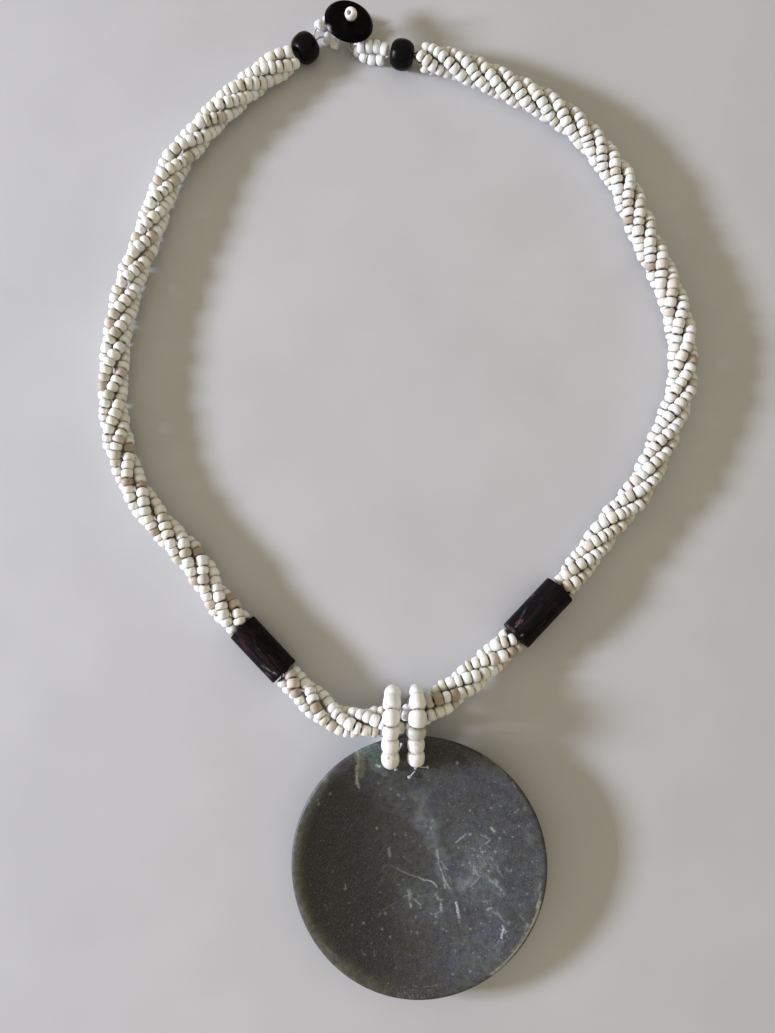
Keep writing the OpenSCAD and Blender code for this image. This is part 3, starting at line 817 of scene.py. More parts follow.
@dataclass
class RopeRun:
    """One run of the rope between two of its larger beads: four twisted strands of seed beads.

    Lengths are in metres where MM stands by them. The slack between beads, the blur of the turns, the
    reach of the threads, the end gaps and the place of the squeeze are in millimetres.
    """

    name: str
    route: Route
    crossings: tuple[float, ...]
    stains: dict[Tone, tuple]
    wear: tuple[tuple[float, float], ...]
    seed: int
    end_gaps: tuple[float, ...] = (0.0, 0.0, 0.0, 0.0)
    strands: int = 4
    # Painted light: a gain on the colour of every bead in the run, brighter or darker for the light that
    # falls on it.
    painted_light_gain: float = 1.0
    strand_radius: float = 2.3 * MM
    radius_swing: float = 0.07
    radius_wave: float = 19 * MM
    widest: float = 2.44 * MM
    twist_swing: float = 6.0
    twist_wave: float = 27 * MM
    path_step: float = 0.2 * MM
    turn_blur: float = 3.0
    blur_steps: int = 25
    bead_width: float = 2.95 * MM
    width_spread: float = 0.045
    width_limit: float = 3.2 * MM
    bead_length: float = 2.16 * MM
    length_spread: float = 0.29 * MM
    length_limits: tuple[float, float] = (1.4 * MM, 2.75 * MM)
    slack: tuple[float, float] = (0.035, 0.04)
    least_slack: float = 0.01
    wobble: float = 0.06
    taper_length: float = 4 * MM
    taper_end: float = 0.78
    squeeze: float = 0.12
    squeeze_place: Triple = (1.5, -58, 8.6)
    squeeze_reach: float = 14 * MM
    seen_above: float = -0.4 * MM
    end_clearance: float = 0.12 * MM
    thread_radius: float = 0.2 * MM
    thread_reach: float = 1.2
    thread_tone: Triple = (0.1, 0.06, 0.04)
    thread_sides: int = 6
    thread_trim: int = 3
    thread_skip: int = 4
    chances: tuple[tuple[float, float], ...] = ((0.68, -0.3), (0.24, 0.13), (0.08, 0.17))
    light_spread: tuple[float, float] = (0.90, 1.03)
    hue_spread: tuple[float, float] = (0.985, 1.015)
    least_shade_and_dirt: float = 0.35

    def turns(self, s: Array) -> Array:
        """Counts the turns that the strands have made, so that each crossing is met.

        Args:
            s: Lengths along the run.

        Returns:
            The number of turns at each of them.
        """
        marks = np.array(self.crossings) * MM
        count = np.arange(len(marks)) / self.strands
        step = (marks[-1] - marks[0]) / (len(marks) - 1)
        marks = np.r_[marks[0] - step * self.strands, marks, marks[-1] + step * self.strands]
        count = np.r_[-1.0, count, count[-1] + 1.0]
        blur = np.linspace(-self.turn_blur, self.turn_blur, self.blur_steps) * MM
        return np.mean([np.interp(s + shift, marks, count) for shift in blur], axis=0)

    def strand_path(self, strand: int, rng: np.random.Generator) -> tuple[Array, Array, Array]:
        """Draws the middle line of one strand.

        Args:
            strand: Which strand.
            rng: Source of its looseness.

        Returns:
            The points of the line, the rope's middle beside each, and the length along the rope.
        """
        s = np.arange(0, self.route.length, self.path_step)
        middle = self.route.read(self.route.points, s)
        side = self.route.read(self.route.side, s)
        up = self.route.read(self.route.up, s)
        near = np.linalg.norm(middle - np.array(self.squeeze_place) * MM, axis=1)
        radius = self.strand_radius * (1 - self.squeeze * np.clip(1 - near / self.squeeze_reach, 0, 1))
        radius *= self.taper_end + (1 - self.taper_end) * np.minimum(
            1, np.minimum(s, self.route.length - s) / self.taper_length)
        radius *= 1 + self.radius_swing * wander(rng, s, self.radius_wave)
        radius = np.minimum(radius, self.widest)
        turn = 2 * np.pi * (self.turns(s) - strand / self.strands)
        turn += math.radians(self.twist_swing) * wander(rng, s, self.twist_wave)
        path = middle + radius[:, None] * (np.cos(turn)[:, None] * up + np.sin(turn)[:, None] * side)
        return path, middle, s

    def lengths(self, rng: np.random.Generator, room: float) -> Array:
        """Draws bead lengths that fill a strand.

        Args:
            rng: Source of the lengths.
            room: Length of the strand.

        Returns:
            The lengths, each with its share of slack.
        """
        sizes = []
        while sum(sizes) < room:
            size = rng.normal(self.bead_length, self.length_spread)
            sizes.append(float(np.clip(size, *self.length_limits)))
        return np.array(sizes) * room / sum(sizes)

    def tone(self, rng: np.random.Generator, wear: float) -> Array:
        """Picks the glass of an ordinary bead.

        Args:
            rng: Source of the pick.
            wear: How worn the rope is there.

        Returns:
            Its colour, creamier where the rope is worn, and scaled by the run's painted light gain.
        """
        chance = np.array([level + rise * wear for level, rise in self.chances])
        tone = np.array(list(Tone)[rng.choice(len(chance), p=chance / chance.sum())].value)
        return self.painted_light_gain * tone * rng.uniform(*self.light_spread) * rng.uniform(*self.hue_spread, 3)

    def string(self, strand: int, threads: Pile) -> list[SeedBead]:
        """Sets the beads of one strand in a row, and adds the thread through them to a pile.

        Args:
            strand: Which strand.
            threads: Where its thread goes.

        Returns:
            Its beads, from the start of the run to its end.
        """
        beads = []
        wear_at, wear = (np.array(column) for column in zip(*self.wear))
        rng = np.random.default_rng(self.seed * 10 + strand)
        path, middle, s = self.strand_path(strand, rng)
        run = np.r_[0, np.cumsum(np.linalg.norm(np.diff(path, axis=0), axis=1))]
        place = self.end_clearance
        for length in self.lengths(rng, run[-1] - 2 * self.end_clearance - self.end_gaps[strand] * MM):
            i = int(np.searchsorted(run, place + length / 2))
            fore = path[min(int(np.searchsorted(run, place + length)), len(path) - 1)]
            back = path[int(np.searchsorted(run, place))]
            tight = length - max(self.least_slack, rng.normal(*self.slack)) * MM
            axis = unit(fore - back) + rng.normal(0, self.wobble, 3)
            width = min(self.bead_width * rng.normal(1, self.width_spread), self.width_limit)
            side = self.route.read(self.route.side, s[i:i + 1])[0]
            out = path[i] - middle[i]
            worn = float(np.interp(s[i] / MM, wear_at, wear))
            beads.append(SeedBead(strand, rng, path[i], axis, out, width, tight, s[i], out @ side, worn,
                                  self.tone(rng, worn)))
            place += length
        start = self.route.points[0] - self.route.ahead[0] * self.thread_reach * MM
        end = self.route.points[-1] + self.route.ahead[-1] * self.thread_reach * MM
        last = int(np.searchsorted(run, place)) - self.thread_trim
        inside = path[self.thread_trim:last:self.thread_skip]
        threads.tube(np.vstack([start, inside, end]), self.thread_radius, self.thread_tone,
                     self.thread_sides)
        return beads

    def stain(self, beads: list[SeedBead]) -> None:
        """Gives the bead in sight that is nearest to each charted place its glass.

        Args:
            beads: All beads of the run.
        """
        along, right = np.array([bead.along for bead in beads]), np.array([bead.right for bead in beads])
        unseen = np.array([bead.out[2] <= self.seen_above for bead in beads])
        for tone, places in self.stains.items():
            for u, v in places:
                far = np.hypot(along - u * MM, right - v * MM) + unseen
                beads[int(np.argmin(far))].tone = np.array(tone.value)

    def build(self, glass: Material, thread: Material) -> None:
        """Makes the run's strands of beads and the threads inside them.

        Args:
            glass: Finish of the beads.
            thread: Finish of the threads.
        """
        form, threads = BeadForm(), Pile()
        faces = form.faces()
        piles = [Pile() for _ in range(self.strands)]
        beads = [bead for strand in range(self.strands) for bead in self.string(strand, threads)]
        self.stain(beads)
        for bead in beads:
            points, dirt_wear_and_painted_light = form.bead(bead.rng, bead.centre, bead.axis, bead.out, bead.width, bead.length)
            dirt_wear_and_painted_light = np.minimum(dirt_wear_and_painted_light * (self.least_shade_and_dirt + (1 - self.least_shade_and_dirt) * bead.wear), 1)
            piles[bead.strand].add(points, faces, bead.tone, dirt_wear_and_painted_light)
        for strand, pile in enumerate(piles):
            pile.build(f"{self.name}_strand_{strand + 1}", glass, "seed_bead", self.name)
        threads.build(f"{self.name}_threads", thread, "strand_thread")


class Rope:
    """The whole rope, in its three runs."""

    def __init__(self) -> None:
        """Sets out the runs, each with its own draw of beads."""
        self.runs = (
            # The gains paint the left and front runs brighter than the right one: painted light.
            RopeRun("rope_left", Route(LEFT_ROUTE), LEFT_CROSSINGS, LEFT_STAINS, seed=11, painted_light_gain=1.2,
                    wear=((0, 0.4), (60, 0.4), (80, 0.7), (100, 0.95), (176, 0.9))),
            RopeRun("rope_front", Route(FRONT_ROUTE), FRONT_CROSSINGS, FRONT_STAINS, seed=12, painted_light_gain=1.17,
                    wear=((0, 0.8), (25, 0.6), (45, 0.8), (68, 0.8))),
            RopeRun("rope_right", Route(RIGHT_ROUTE), RIGHT_CROSSINGS, RIGHT_STAINS, seed=13, painted_light_gain=1.02,
                    wear=((0, 1.1), (20, 1.0), (40, 0.9), (85, 0.9), (95, 1.2), (115, 1.25), (128, 1.0),
                          (184, 0.8)), end_gaps=(1.4, 0.9, 1.8, 0.6)),
        )

    def build(self, glass: Material, thread: Material) -> None:
        """Makes every run."""
        for run in self.runs:
            run.build(glass, thread)


@dataclass
class Turned:
    """A bead or disc that was turned on a lathe and finished by hand. Its lengths are in millimetres."""

    name: str
    centre: Triple
    axis: Triple
    profile: tuple[tuple[float, float], ...]
    edge: float
    seed: int
    sides: int = 96
    uneven: float = 0.006
    facets: int = 0
    marks: tuple = ()
    spot: tuple[float, ...] = ()
    fullest: float = 1.008
    lump_lean: float = 2.5
    facet_depth: float = 0.008
    facet_sway: tuple[float, float] = (1.5, 6.0)
    corner_steps: int = 7
    spacing: float = 0.7
    bore_limit: float = 1.15
    least_cover: float = 0.01
    spot_core: float = 0.35

    def rounded(self) -> Array:
        """Rounds every corner of the closed profile.

        Returns:
            Its points, as radius and place along the axis, in metres.
        """
        p = np.array(self.profile)
        rows = []
        for i in range(len(p)):
            a, b, c = p[i - 1], p[i], p[(i + 1) % len(p)]
            cut = min(self.edge, 0.45 * np.linalg.norm(a - b), 0.45 * np.linalg.norm(c - b))
            start, end = b + unit(a - b) * cut, b + unit(c - b) * cut
            for t in np.linspace(0, 1, self.corner_steps):
                rows.append((1 - t) ** 2 * start + 2 * t * (1 - t) * b + t ** 2 * end)
            reach = np.linalg.norm(c - b)
            steps = int(reach / self.spacing)
            for k in range(1, steps):
                rows.append(end + (c - b) * (1 - 2 * cut / reach) * k / steps)
        return np.array(rows) * MM

    def build(self, material: Material, slot: str) -> None:
        """Makes the piece, in place of the solid of the same name.

        Args:
            material: Its finish.
            slot: The record's material slot.
        """
        rng = np.random.default_rng(self.seed)
        ring = self.rounded()
        m, n = len(ring), self.sides
        theta = 2 * np.pi * np.arange(n) / n
        p = rng.uniform(0, 2 * np.pi, 6)
        swell = np.ones((m, n))
        reach = np.ptp(ring[:, 1])
        for k in range(3):
            lean = self.lump_lean * (ring[:, 1:2] / reach)
            swell += self.uneven * np.sin((k + 2) * theta + p[k] + lean)
        if self.facets:
            far, waves = self.facet_sway
            sway = far * np.sin(waves * ring[:, 1:2] / reach)
            swell += self.facet_depth * np.cos(theta * self.facets + p[3] + sway)
        bore = ring[:, 0].min() * self.bore_limit
        swell *= self.fullest / swell.max()
        swell[ring[:, 0] < bore] = 1
        axis = unit(np.array(self.axis, float))
        across = unit(np.cross((0.1, 0.2, 1.0), axis))
        other = np.cross(axis, across)
        spokes = np.cos(theta)[:, None] * across + np.sin(theta)[:, None] * other
        centre = np.array(self.centre) * MM
        points = (centre + (ring[:, :1] * swell)[..., None] * spokes[None]
                  + ring[:, 1][:, None, None] * axis).reshape(-1, 3)
        offset = (points - centre) / MM
        along, right = offset @ axis, offset @ np.cross((0, 0, 1), axis)
        around = np.hypot(right, offset[:, 2]) * np.arctan2(right, offset[:, 2])
        tone, amount = np.zeros((len(offset), 3)), np.zeros(len(offset))
        for mark in self.marks:
            cover = mark.cover(along, around)
            tone += (np.array(mark.tone.value) - tone) * (cover > self.least_cover)[:, None]
            amount = np.maximum(amount, cover)
        # The spot, given only to the button, is a painted highlight in chalk.
        if self.spot:
            far = np.linalg.norm(points / MM - self.spot[:3], axis=1)
            amount = 1 - smoothstep(self.spot_core * self.spot[3], self.spot[3], far)
            tone[:] = WoodTone.CHALK.value
        pile = Pile()
        pile.add(points, ring_faces(m, n, closed=True), tone, amount)
        pile.build(f"turned_{self.name}", material, slot, self.name)


class WoodenBeads:
    """The two tubes in the rope and the two rondelles beside the clasp."""

    REST = 0.05
    TUBE_BORE = 1.6
    TUBE_EDGE = 0.38
    RONDELLE_BORE = 1.3
    RONDELLE_HALF = 3.05
    RONDELLE_EDGE = 0.3
    RONDELLE_REACH = 75
    RONDELLE_POWER = 0.52

    def tube(self, name: str, x: float, y: float, turn: float, length: float, width: float,
             marks: tuple) -> Turned:
        """Sets out a drilled tube that lies level on the surface.

        Args:
            name: Name of its solid.
            x: Place of its middle across the necklace.
            y: And along it.
            turn: Direction of its bore, in degrees from X.
            length: Its length.
            width: Its diameter.
            marks: Rubbed places on it.

        Returns:
            The tube.
        """
        r, h, a = width / 2, length / 2, math.radians(turn)
        profile = ((self.TUBE_BORE, -h), (r, -h), (r, h), (self.TUBE_BORE, h))
        return Turned(name, (x, y, r + self.REST), (math.cos(a), math.sin(a), 0), profile,
                      edge=self.TUBE_EDGE, seed=int(length * 10), uneven=0.009, marks=marks)

    def rondelle(self, name: str, x: float, y: float, turn: float, width: float) -> Turned:
        """Sets out a drilled round bead with flattened ends that lies level on the surface.

        Args:
            name: Name of its solid.
            x: Place of its middle across the necklace.
            y: And along it.
            turn: Direction of its bore, in degrees from X.
            width: Its diameter.

        Returns:
            The bead.
        """
        r, h, a = width / 2, self.RONDELLE_HALF, math.radians(turn)
        rise = math.sin(math.radians(self.RONDELLE_REACH))
        arc = [(r * math.cos(t) ** self.RONDELLE_POWER, h * math.sin(t) / rise)
               for t in np.radians(np.linspace(-self.RONDELLE_REACH, self.RONDELLE_REACH, 15))]
        profile = ((self.RONDELLE_BORE, -h), *arc, (self.RONDELLE_BORE, h))
        return Turned(name, (x, y, r + self.REST), (math.cos(a), math.sin(a), 0), profile,
                      edge=self.RONDELLE_EDGE, seed=int(abs(turn)), uneven=0.004, facets=9)

    def build(self, polished: Material) -> None:
        """Makes the four beads.

        Args:
            polished: Finish of the rondelles.
        """
        for name, x, y, turn, length, width, marks in (
                ("tube_left", -33.5, -42.5, -46, 15.4, 7.8, LEFT_TUBE_MARKS),
                ("tube_right", 34.5, -33.5, 46, 16.2, 8.4, RIGHT_TUBE_MARKS)):
            wood = DarkWood(f"dark_wood_{name}", turn).material()
            self.tube(name, x, y, turn, length, width, marks).build(wood, "dark_wood")
        self.rondelle("rondelle_left", -24.6, 115.2, 42, 7.6).build(polished, "polished_wood")
        self.rondelle("rondelle_right", 1.05, 113.3, -10, 7.6).build(polished, "polished_wood")


@dataclass
class Clasp:
    """The button on its beaded stem, and the beaded loop that goes over it, in millimetres."""

    loop_width: float = 2.88
    upper_width: float = 3.3
    lower_width: float = 2.88
    button_width: float = 13.0
    button_thickness: float = 2.4
    button_centre: Triple = (-12.9, 119.8, 7.5)
    button_lean: float = 13.0
    button_back_lean: float = 9.0
    button_bore: float = 1.1
    button_edge: float = 0.7
    # Painted highlight: a chalk spot on the button's lower left edge, where its side faces the window, as
    # X, Y, Z and radius.
    painted_highlight_spot: tuple[float, ...] = (-18.0, 116.6, 8.7, 1.5)
    glass_tone: Triple = (0.87, 0.88, 0.88)
    lit_tone: Triple = (0.97, 0.98, 0.99)
    dull_tone: Triple = (0.78, 0.74, 0.68)
    lit_from: float = 20.0
    width_spread: tuple[float, float] = (0.965, 1.0)
    length_spread: tuple[float, float] = (0.95, 1.0)
    light_spread: tuple[float, float] = (0.96, 1.02)
    dirt_wear_and_painted_light: float = 0.2
    stop_place: Triple = (-12.2, 119.7, 10.4)
    stop_lean: Triple = (-0.47, -0.35, 1.0)
    stop_tone: Triple = (0.85, 0.85, 0.82)
    stop_width: float = 3.1
    stop_length: float = 2.4
    stop_shade_and_dirt: float = 0.35

    def string(self, name: str, route: tuple, places: tuple, width: float, length: float, seed: int,
               glass: Material) -> None:
        """Makes the beads of one string.

        Args:
            name: Name of the solid whose beads these are.
            route: The thread's route.
            places: Distance of each bead's middle along it, in millimetres.
            width: Width of a bead, in millimetres.
            length: Length of a bead, in millimetres.
            seed: Number of the draw of their unevenness.
            glass: Their finish.
        """
        line = Route(route)
        rng = np.random.default_rng(seed)
        form = BeadForm(sides=28, rings=13, bore=1.0 * MM, uneven=0.8)
        pile = Pile()
        half = length / 2 * MM
        for place in places:
            s = place * MM
            centre = line.read(line.points, s)
            axis = line.read(line.points, s + half) - line.read(line.points, s - half)
            wide = width * MM * rng.uniform(*self.width_spread)
            points, dirt_wear_and_painted_light = form.bead(rng, centre, axis, np.array((0.1, 0.2, 1.0)), wide,
                                      2 * half * rng.uniform(*self.length_spread))
            tone = np.array(self.glass_tone) * rng.uniform(*self.light_spread)
            # Painted light: loop beads past lit_from are given the brighter lit_tone, as if lit where the
            # button shades them.
            if route is LOOP_ROUTE and place > self.lit_from:
                tone = np.array(self.lit_tone)
            if place == STEM_LOWER_PLACES[-1]:
                tone = np.array(self.dull_tone)
            pile.add(points, form.faces(), tone, dirt_wear_and_painted_light * self.dirt_wear_and_painted_light)
        pile.build(name.replace("_beads", "_seed_beads"), glass, "seed_bead", name)

    def button(self) -> Turned:
        """Sets out the button.

        Returns:
            A thick disc with a bevelled back.
        """
        r, h = self.button_width / 2, self.button_thickness / 2
        edge, bore = self.button_edge, self.button_bore
        a, b = math.radians(self.button_lean), math.radians(self.button_back_lean)
        axis = (math.cos(b) * math.sin(a), math.sin(b), math.cos(b) * math.cos(a))
        profile = ((bore, -h), (r - 2 * edge, -h), (r - 0.4 * edge, -h + edge), (r, 0),
                   (r - 0.4 * edge, h - edge), (r - 1.4 * edge, h), (bore, h))
        return Turned("button", self.button_centre, axis, profile, edge=0.35, seed=5, sides=160,
                      uneven=0.002, spot=self.painted_highlight_spot)

    def stop_bead(self, glass: Material) -> None:
        """Makes the bead that keeps the button on its stem.

        Args:
            glass: Its finish.
        """
        form = BeadForm(sides=40, rings=17, bore=1.2 * MM, uneven=0.6, square=(0.66, 0.67))
        points, dirt_wear_and_painted_light = form.bead(np.random.default_rng(3), np.array(self.stop_place) * MM,
                                  np.array(self.stop_lean), np.array((0.0, 1.0, 0.0)),
                                  self.stop_width * MM, self.stop_length * MM)
        pile = Pile()
        pile.add(points, form.faces(), self.stop_tone, dirt_wear_and_painted_light * self.stop_shade_and_dirt)
        pile.build("stop_bead_glass", glass, "bail_bead", "stop_bead")

    def build(self, glass: Material, bright: Material, polished: Material) -> None:
        """Makes the clasp.

        Args:
            glass: Finish of the seed beads.
            bright: Finish of the stop bead.
            polished: Finish of the button.
        """
        for name, route, places, width, length, seed in (
                ("loop_beads", LOOP_ROUTE, LOOP_PLACES, self.loop_width, 2.3, 21),
                ("stem_upper_beads", STEM_UPPER_ROUTE, STEM_UPPER_PLACES, self.upper_width, 2.08, 22),
                ("stem_lower_beads", STEM_LOWER_ROUTE, STEM_LOWER_PLACES, self.lower_width, 2.25, 23)):
            self.string(name, route, places, width, length, seed, glass)
        self.button().build(polished, "polished_wood")
        self.stop_bead(bright)


@dataclass
class BailLoop:
    """One of the two loops of larger beads that carry the disc."""

    name: str
    chain: tuple
    seed: int
    tints_and_painted_shade: dict[int, Triple]
    painted_hole_shade: tuple[tuple[float, float, float, float], ...]
    bore: float = 1.1 * MM
    joint_gap: float = 0.03 * MM
    mitre: float = 0.8
    wall: float = 0.1 * MM
    flat: float = 0.41
    glass_tone: Triple = (0.86, 0.86, 0.835)
    light_spread: tuple[float, float] = (0.97, 1.02)
    hue_spread: tuple[float, float] = (0.99, 1.01)
    dirt_wear_and_painted_light: float = 0.35
    hole_shade_core: float = 0.4

    def bend(self, joints: Array, i: int) -> float:
        """Measures how far the chain turns at a joint.

        Args:
            joints: The chain's joints.
            i: Number of the joint.

        Returns:
            The angle, in radians.
        """
        if i in (0, len(joints) - 1):
            return 0.0
        before, after = unit(joints[i] - joints[i - 1]), unit(joints[i + 1] - joints[i])
        return math.acos(float(np.clip(before @ after, -1, 1)))

    def build(self, glass: Material) -> None:
        """Makes the loop's beads, each in place of its own solid.

        Args:
            glass: Their finish.
        """
        rows = np.array(self.chain)
        joints, widths = rows[:, :3] * MM, rows[:, 3] * MM
        middle = joints.mean(axis=0)
        form = BeadForm(sides=40, rings=21, bore=self.bore, uneven=0.55, square=(0.6, 0.7))
        rng = np.random.default_rng(self.seed)
        for i in range(1, len(joints)):
            width = widths[i - 1]
            face = max(self.bore / 2 + self.wall, self.flat * width / 2)
            start, end = joints[i - 1], joints[i]
            way = unit(end - start)
            lean = [math.tan(self.bend(joints, k) / 2) for k in (i - 1, i)]
            first, last = (self.joint_gap + (1 - self.mitre) * face * part for part in lean)
            reach = np.linalg.norm(end - start)
            centre = start + way * (first + reach - last) / 2
            points, dirt_wear_and_painted_light = form.bead(rng, centre, way, centre - middle, width, reach - first - last,
                                      (self.mitre * lean[0], self.mitre * lean[1]))
            tone = np.array(self.glass_tone) * rng.uniform(*self.light_spread)
            tone = tone * rng.uniform(*self.hue_spread, 3) * self.tints_and_painted_shade.get(i, (1.0, 1.0, 1.0))
            dirt_wear_and_painted_light = dirt_wear_and_painted_light * self.dirt_wear_and_painted_light
            # Painted shade: a brown dark spot on top of a bead, where its bore and the joint to the next
            # bead show dark.
            for x, y, size, strength in self.painted_hole_shade:
                far = np.hypot(points[:, 0] - x * MM, points[:, 1] - y * MM) / MM
                on_top = points[:, 2] > centre[2]
                hole_shade = strength * (1 - smoothstep(self.hole_shade_core * size, size, far))
                dirt_wear_and_painted_light = np.maximum(dirt_wear_and_painted_light, hole_shade * on_top)
            pile = Pile()
            pile.add(points, form.faces(), tone, dirt_wear_and_painted_light)
            pile.build(f"{self.name}_glass_{i}", glass, "bail_bead", f"{self.name}_bead_{i}")


@dataclass
class ShellDisc:
    """The dished disc of ground shell, with the marks of its front painted where they lie, painted shadows
    and highlights among them.
    """

    centre: tuple[float, float] = (4.66, -93.0)
    width: float = 61.3
    thickness: float = 2.4
    dish: float = 5.6
    tilt: float = 2.9
    oval: tuple[float, float] = (0.25, 109.0)
    egg: tuple[float, float] = (0.15, 10.0)
    sides: int = 600
    front_rings: int = 130
    back_rings: int = 12
    ground_left: Triple = (0.0232, 0.0208, 0.0205)
    ground_right: Triple = (0.0575, 0.0595, 0.063)
    rim_tone: Triple = (0.120, 0.115, 0.085)
    back_tone: Triple = (0.11, 0.115, 0.11)
    back_level: float = 0.3
    grain_turn: float = 64.0
    ridge_height: float = 0.012
    swell_height: float = 0.02
    relief_end: tuple[float, float] = (0.88, 0.93)
    light_blend: tuple[float, float] = (-9.0, 1.5)
    speck_level: float = 0.12
    speck_blend: tuple[float, float] = (-2.0, 10.0)
    ground_soft: float = 0.9
    ground_stray: tuple[float, float] = (0.9, 0.75)
    fine_stray: tuple[float, float] = (0.05, 3.1)
    rim_band: tuple[float, float] = (0.87, 0.965)
    rim_light: tuple[float, float] = (0.12, 0.68)
    rim_lit_from: tuple[float, float] = (85.0, 130.0)
    rim_lit_to: tuple[float, float] = (190.0, 235.0)

    def __post_init__(self) -> None:
        """Works out the sphere that the back of the disc is part of."""
        self.back_radius = ((self.width / 2) ** 2 + self.dish ** 2) / (2 * self.dish)
        lean = math.radians(self.tilt)
        self.pole = np.array((self.centre[0], self.centre[1] - self.back_radius * math.sin(lean),
                              self.back_radius))

    def outline(self, a: Array) -> Array:
        """Returns the disc's radius in the direction a."""
        return (self.width / 2 + self.oval[0] * np.cos(2 * (a - math.radians(self.oval[1])))
                + self.egg[0] * np.cos(3 * (a - math.radians(self.egg[1]))))

    def rows(self) -> Array:
        """Sets out the rings from back over rim to front.

        Returns:
            Each ring's part of the radius and of the thickness.
        """
        back = [(t, 0.0) for t in np.linspace(0.004, 0.955, self.back_rings)]
        rim = [(0.965, 0.0), (0.978, 0.03), (0.988, 0.1), (0.995, 0.22), (0.999, 0.36), (1.0, 0.48),
               (0.9985, 0.6), (0.994, 0.7), (0.987, 0.79), (0.976, 0.87), (0.962, 0.93), (0.946, 0.97)]
        front = [(t, 1.0) for t in np.linspace(0.93, 0.004, self.front_rings)]
        return np.array(back + rim + front)

    def relief(self, x: Array, y: Array) -> Array:
        """Raises the shell's low growth ridges.

        Args:
            x: Place of each point across the disc, in millimetres.
            y: And along it.

        Returns:
            How far the front stands proud at each of them, in millimetres.
        """
        grain = math.radians(self.grain_turn)
        along = x * math.cos(grain) - y * math.sin(grain)
        waves = np.sin(along / 3.1 + 0.8 * np.sin(y / 9)) + 0.6 * np.sin(along / 1.27 + 1.4 * np.sin(x / 7))
        return self.ridge_height * waves + self.swell_height * np.sin(x / 5.3 + 1) * np.sin(y / 6.1)

    def stray(self, x: Array, y: Array, reach: float, wave: float) -> tuple[Array, Array]:
        """Returns each place moved a little to and fro, which gives marks drawn there uneven edges."""
        return (x + reach * np.sin(wave * y + 1.7 * np.sin(0.6 * wave * x)),
                y + reach * np.sin(1.1 * wave * x + 1.3 * np.sin(0.7 * wave * y)))

    def paint(self, x: Array, y: Array) -> tuple[Array, Array, Array]:
        """Colours the front from the tables of its marks, which hold painted shadows and highlights too.

        Args:
            x: Place of each point across the necklace, in millimetres.
            y: Place of each point along it, in millimetres.

        Returns:
            The ground colour of each point, the colour and strength of the marks on it, and how thickly
            pale specks lie there.
        """
        # The ground is dark left of LIGHT_EDGE and paler right of it; the paler right is partly the shell's
        # own colour and partly painted sheen of the window's light.
        split = x - np.interp(-y, *(np.array(column) for column in zip(*LIGHT_EDGE)))
        side = smoothstep(*self.light_blend, split)[:, None]
        ground = np.array(self.ground_left) * (1 - side) + np.array(self.ground_right) * side
        marked = np.broadcast_to(np.array(ShellTone.PALE.value), ground.shape).copy()
        strength = np.zeros(len(x))
        specks = self.speck_level + self.speck_level * smoothstep(*self.speck_blend, split)
        wide, fine = self.stray(x, y, *self.ground_stray), self.stray(x, y, *self.fine_stray)
        dots = tuple(Mark(((u, v),), w, k) for u, v, w, k in DOTS)
        for mark in MARKS + dots:
            on_ground = mark.soft >= self.ground_soft
            amount = mark.cover(*(wide if on_ground else fine))
            part = amount[:, None]
            if on_ground:
                ground = ground * (1 - part) + np.array(mark.tone.value) * part
            else:
                marked = marked * (1 - part) + np.array(mark.tone.value) * part
                strength = 1 - (1 - strength) * (1 - amount)
            specks = specks + mark.specks * amount
        return ground, np.column_stack([marked, strength]), np.clip(specks, 0, 1)

    def build(self, material: Material) -> None:
        """Makes the disc, in place of its solid.

        Args:
            material: Its finish.
        """
        rows, n = self.rows(), self.sides
        m = len(rows)
        a = -2 * np.pi * np.arange(n) / n
        d = rows[:, :1] * self.outline(a)[None, :]
        x, y = d * np.cos(a), d * np.sin(a)
        rise = self.back_radius - np.sqrt(self.back_radius ** 2 - d ** 2)
        proud = self.relief(x, y) * (1 - smoothstep(*self.relief_end, rows[:, :1]))
        proud = np.where(rows[:, 1:] >= 0.99, proud, 0)
        z = rise + rows[:, 1:] * self.thickness + proud - self.back_radius
        lean = math.radians(self.tilt)
        world = np.stack([x + self.pole[0],
                          y * math.cos(lean) - z * math.sin(lean) + self.pole[1],
                          y * math.sin(lean) + z * math.cos(lean) + self.pole[2]], axis=-1)
        flat = world.reshape(-1, 3)
        pile = Pile()
        pile.add(flat * MM, ring_faces(m, n, closed=False), (0.1, 0.1, 0.1), 0.0)
        piece = pile.build("shell_disc_front", material, "shell", "shell_disc")
        colour, marked, specks = self.paint(flat[:, 0], flat[:, 1])
        part = np.repeat(rows[:, 0], n)
        level = np.repeat(rows[:, 1], n)
        turn = np.tile(np.degrees(-a) % 360, m)
        # Painted highlight over the rim's own olive: an olive band that is faint all round the rim and much
        # stronger over its bottom and left, where it faces the window.
        rim = smoothstep(*self.rim_band, part) * (level > self.back_level)
        dim, bright = self.rim_light
        lit = dim + bright * smoothstep(*self.rim_lit_from, turn) * (1 - smoothstep(*self.rim_lit_to, turn))
        amount = (rim * lit)[:, None]
        colour = colour * (1 - amount) + np.array(self.rim_tone) * amount
        colour = np.where((level < self.back_level)[:, None], np.array(self.back_tone), colour)
        marked[:, 3] *= level > self.back_level
        carry(piece.data, "paint", colour)
        carry(piece.data, "mark", marked)
        carry(piece.data, "speck", specks)


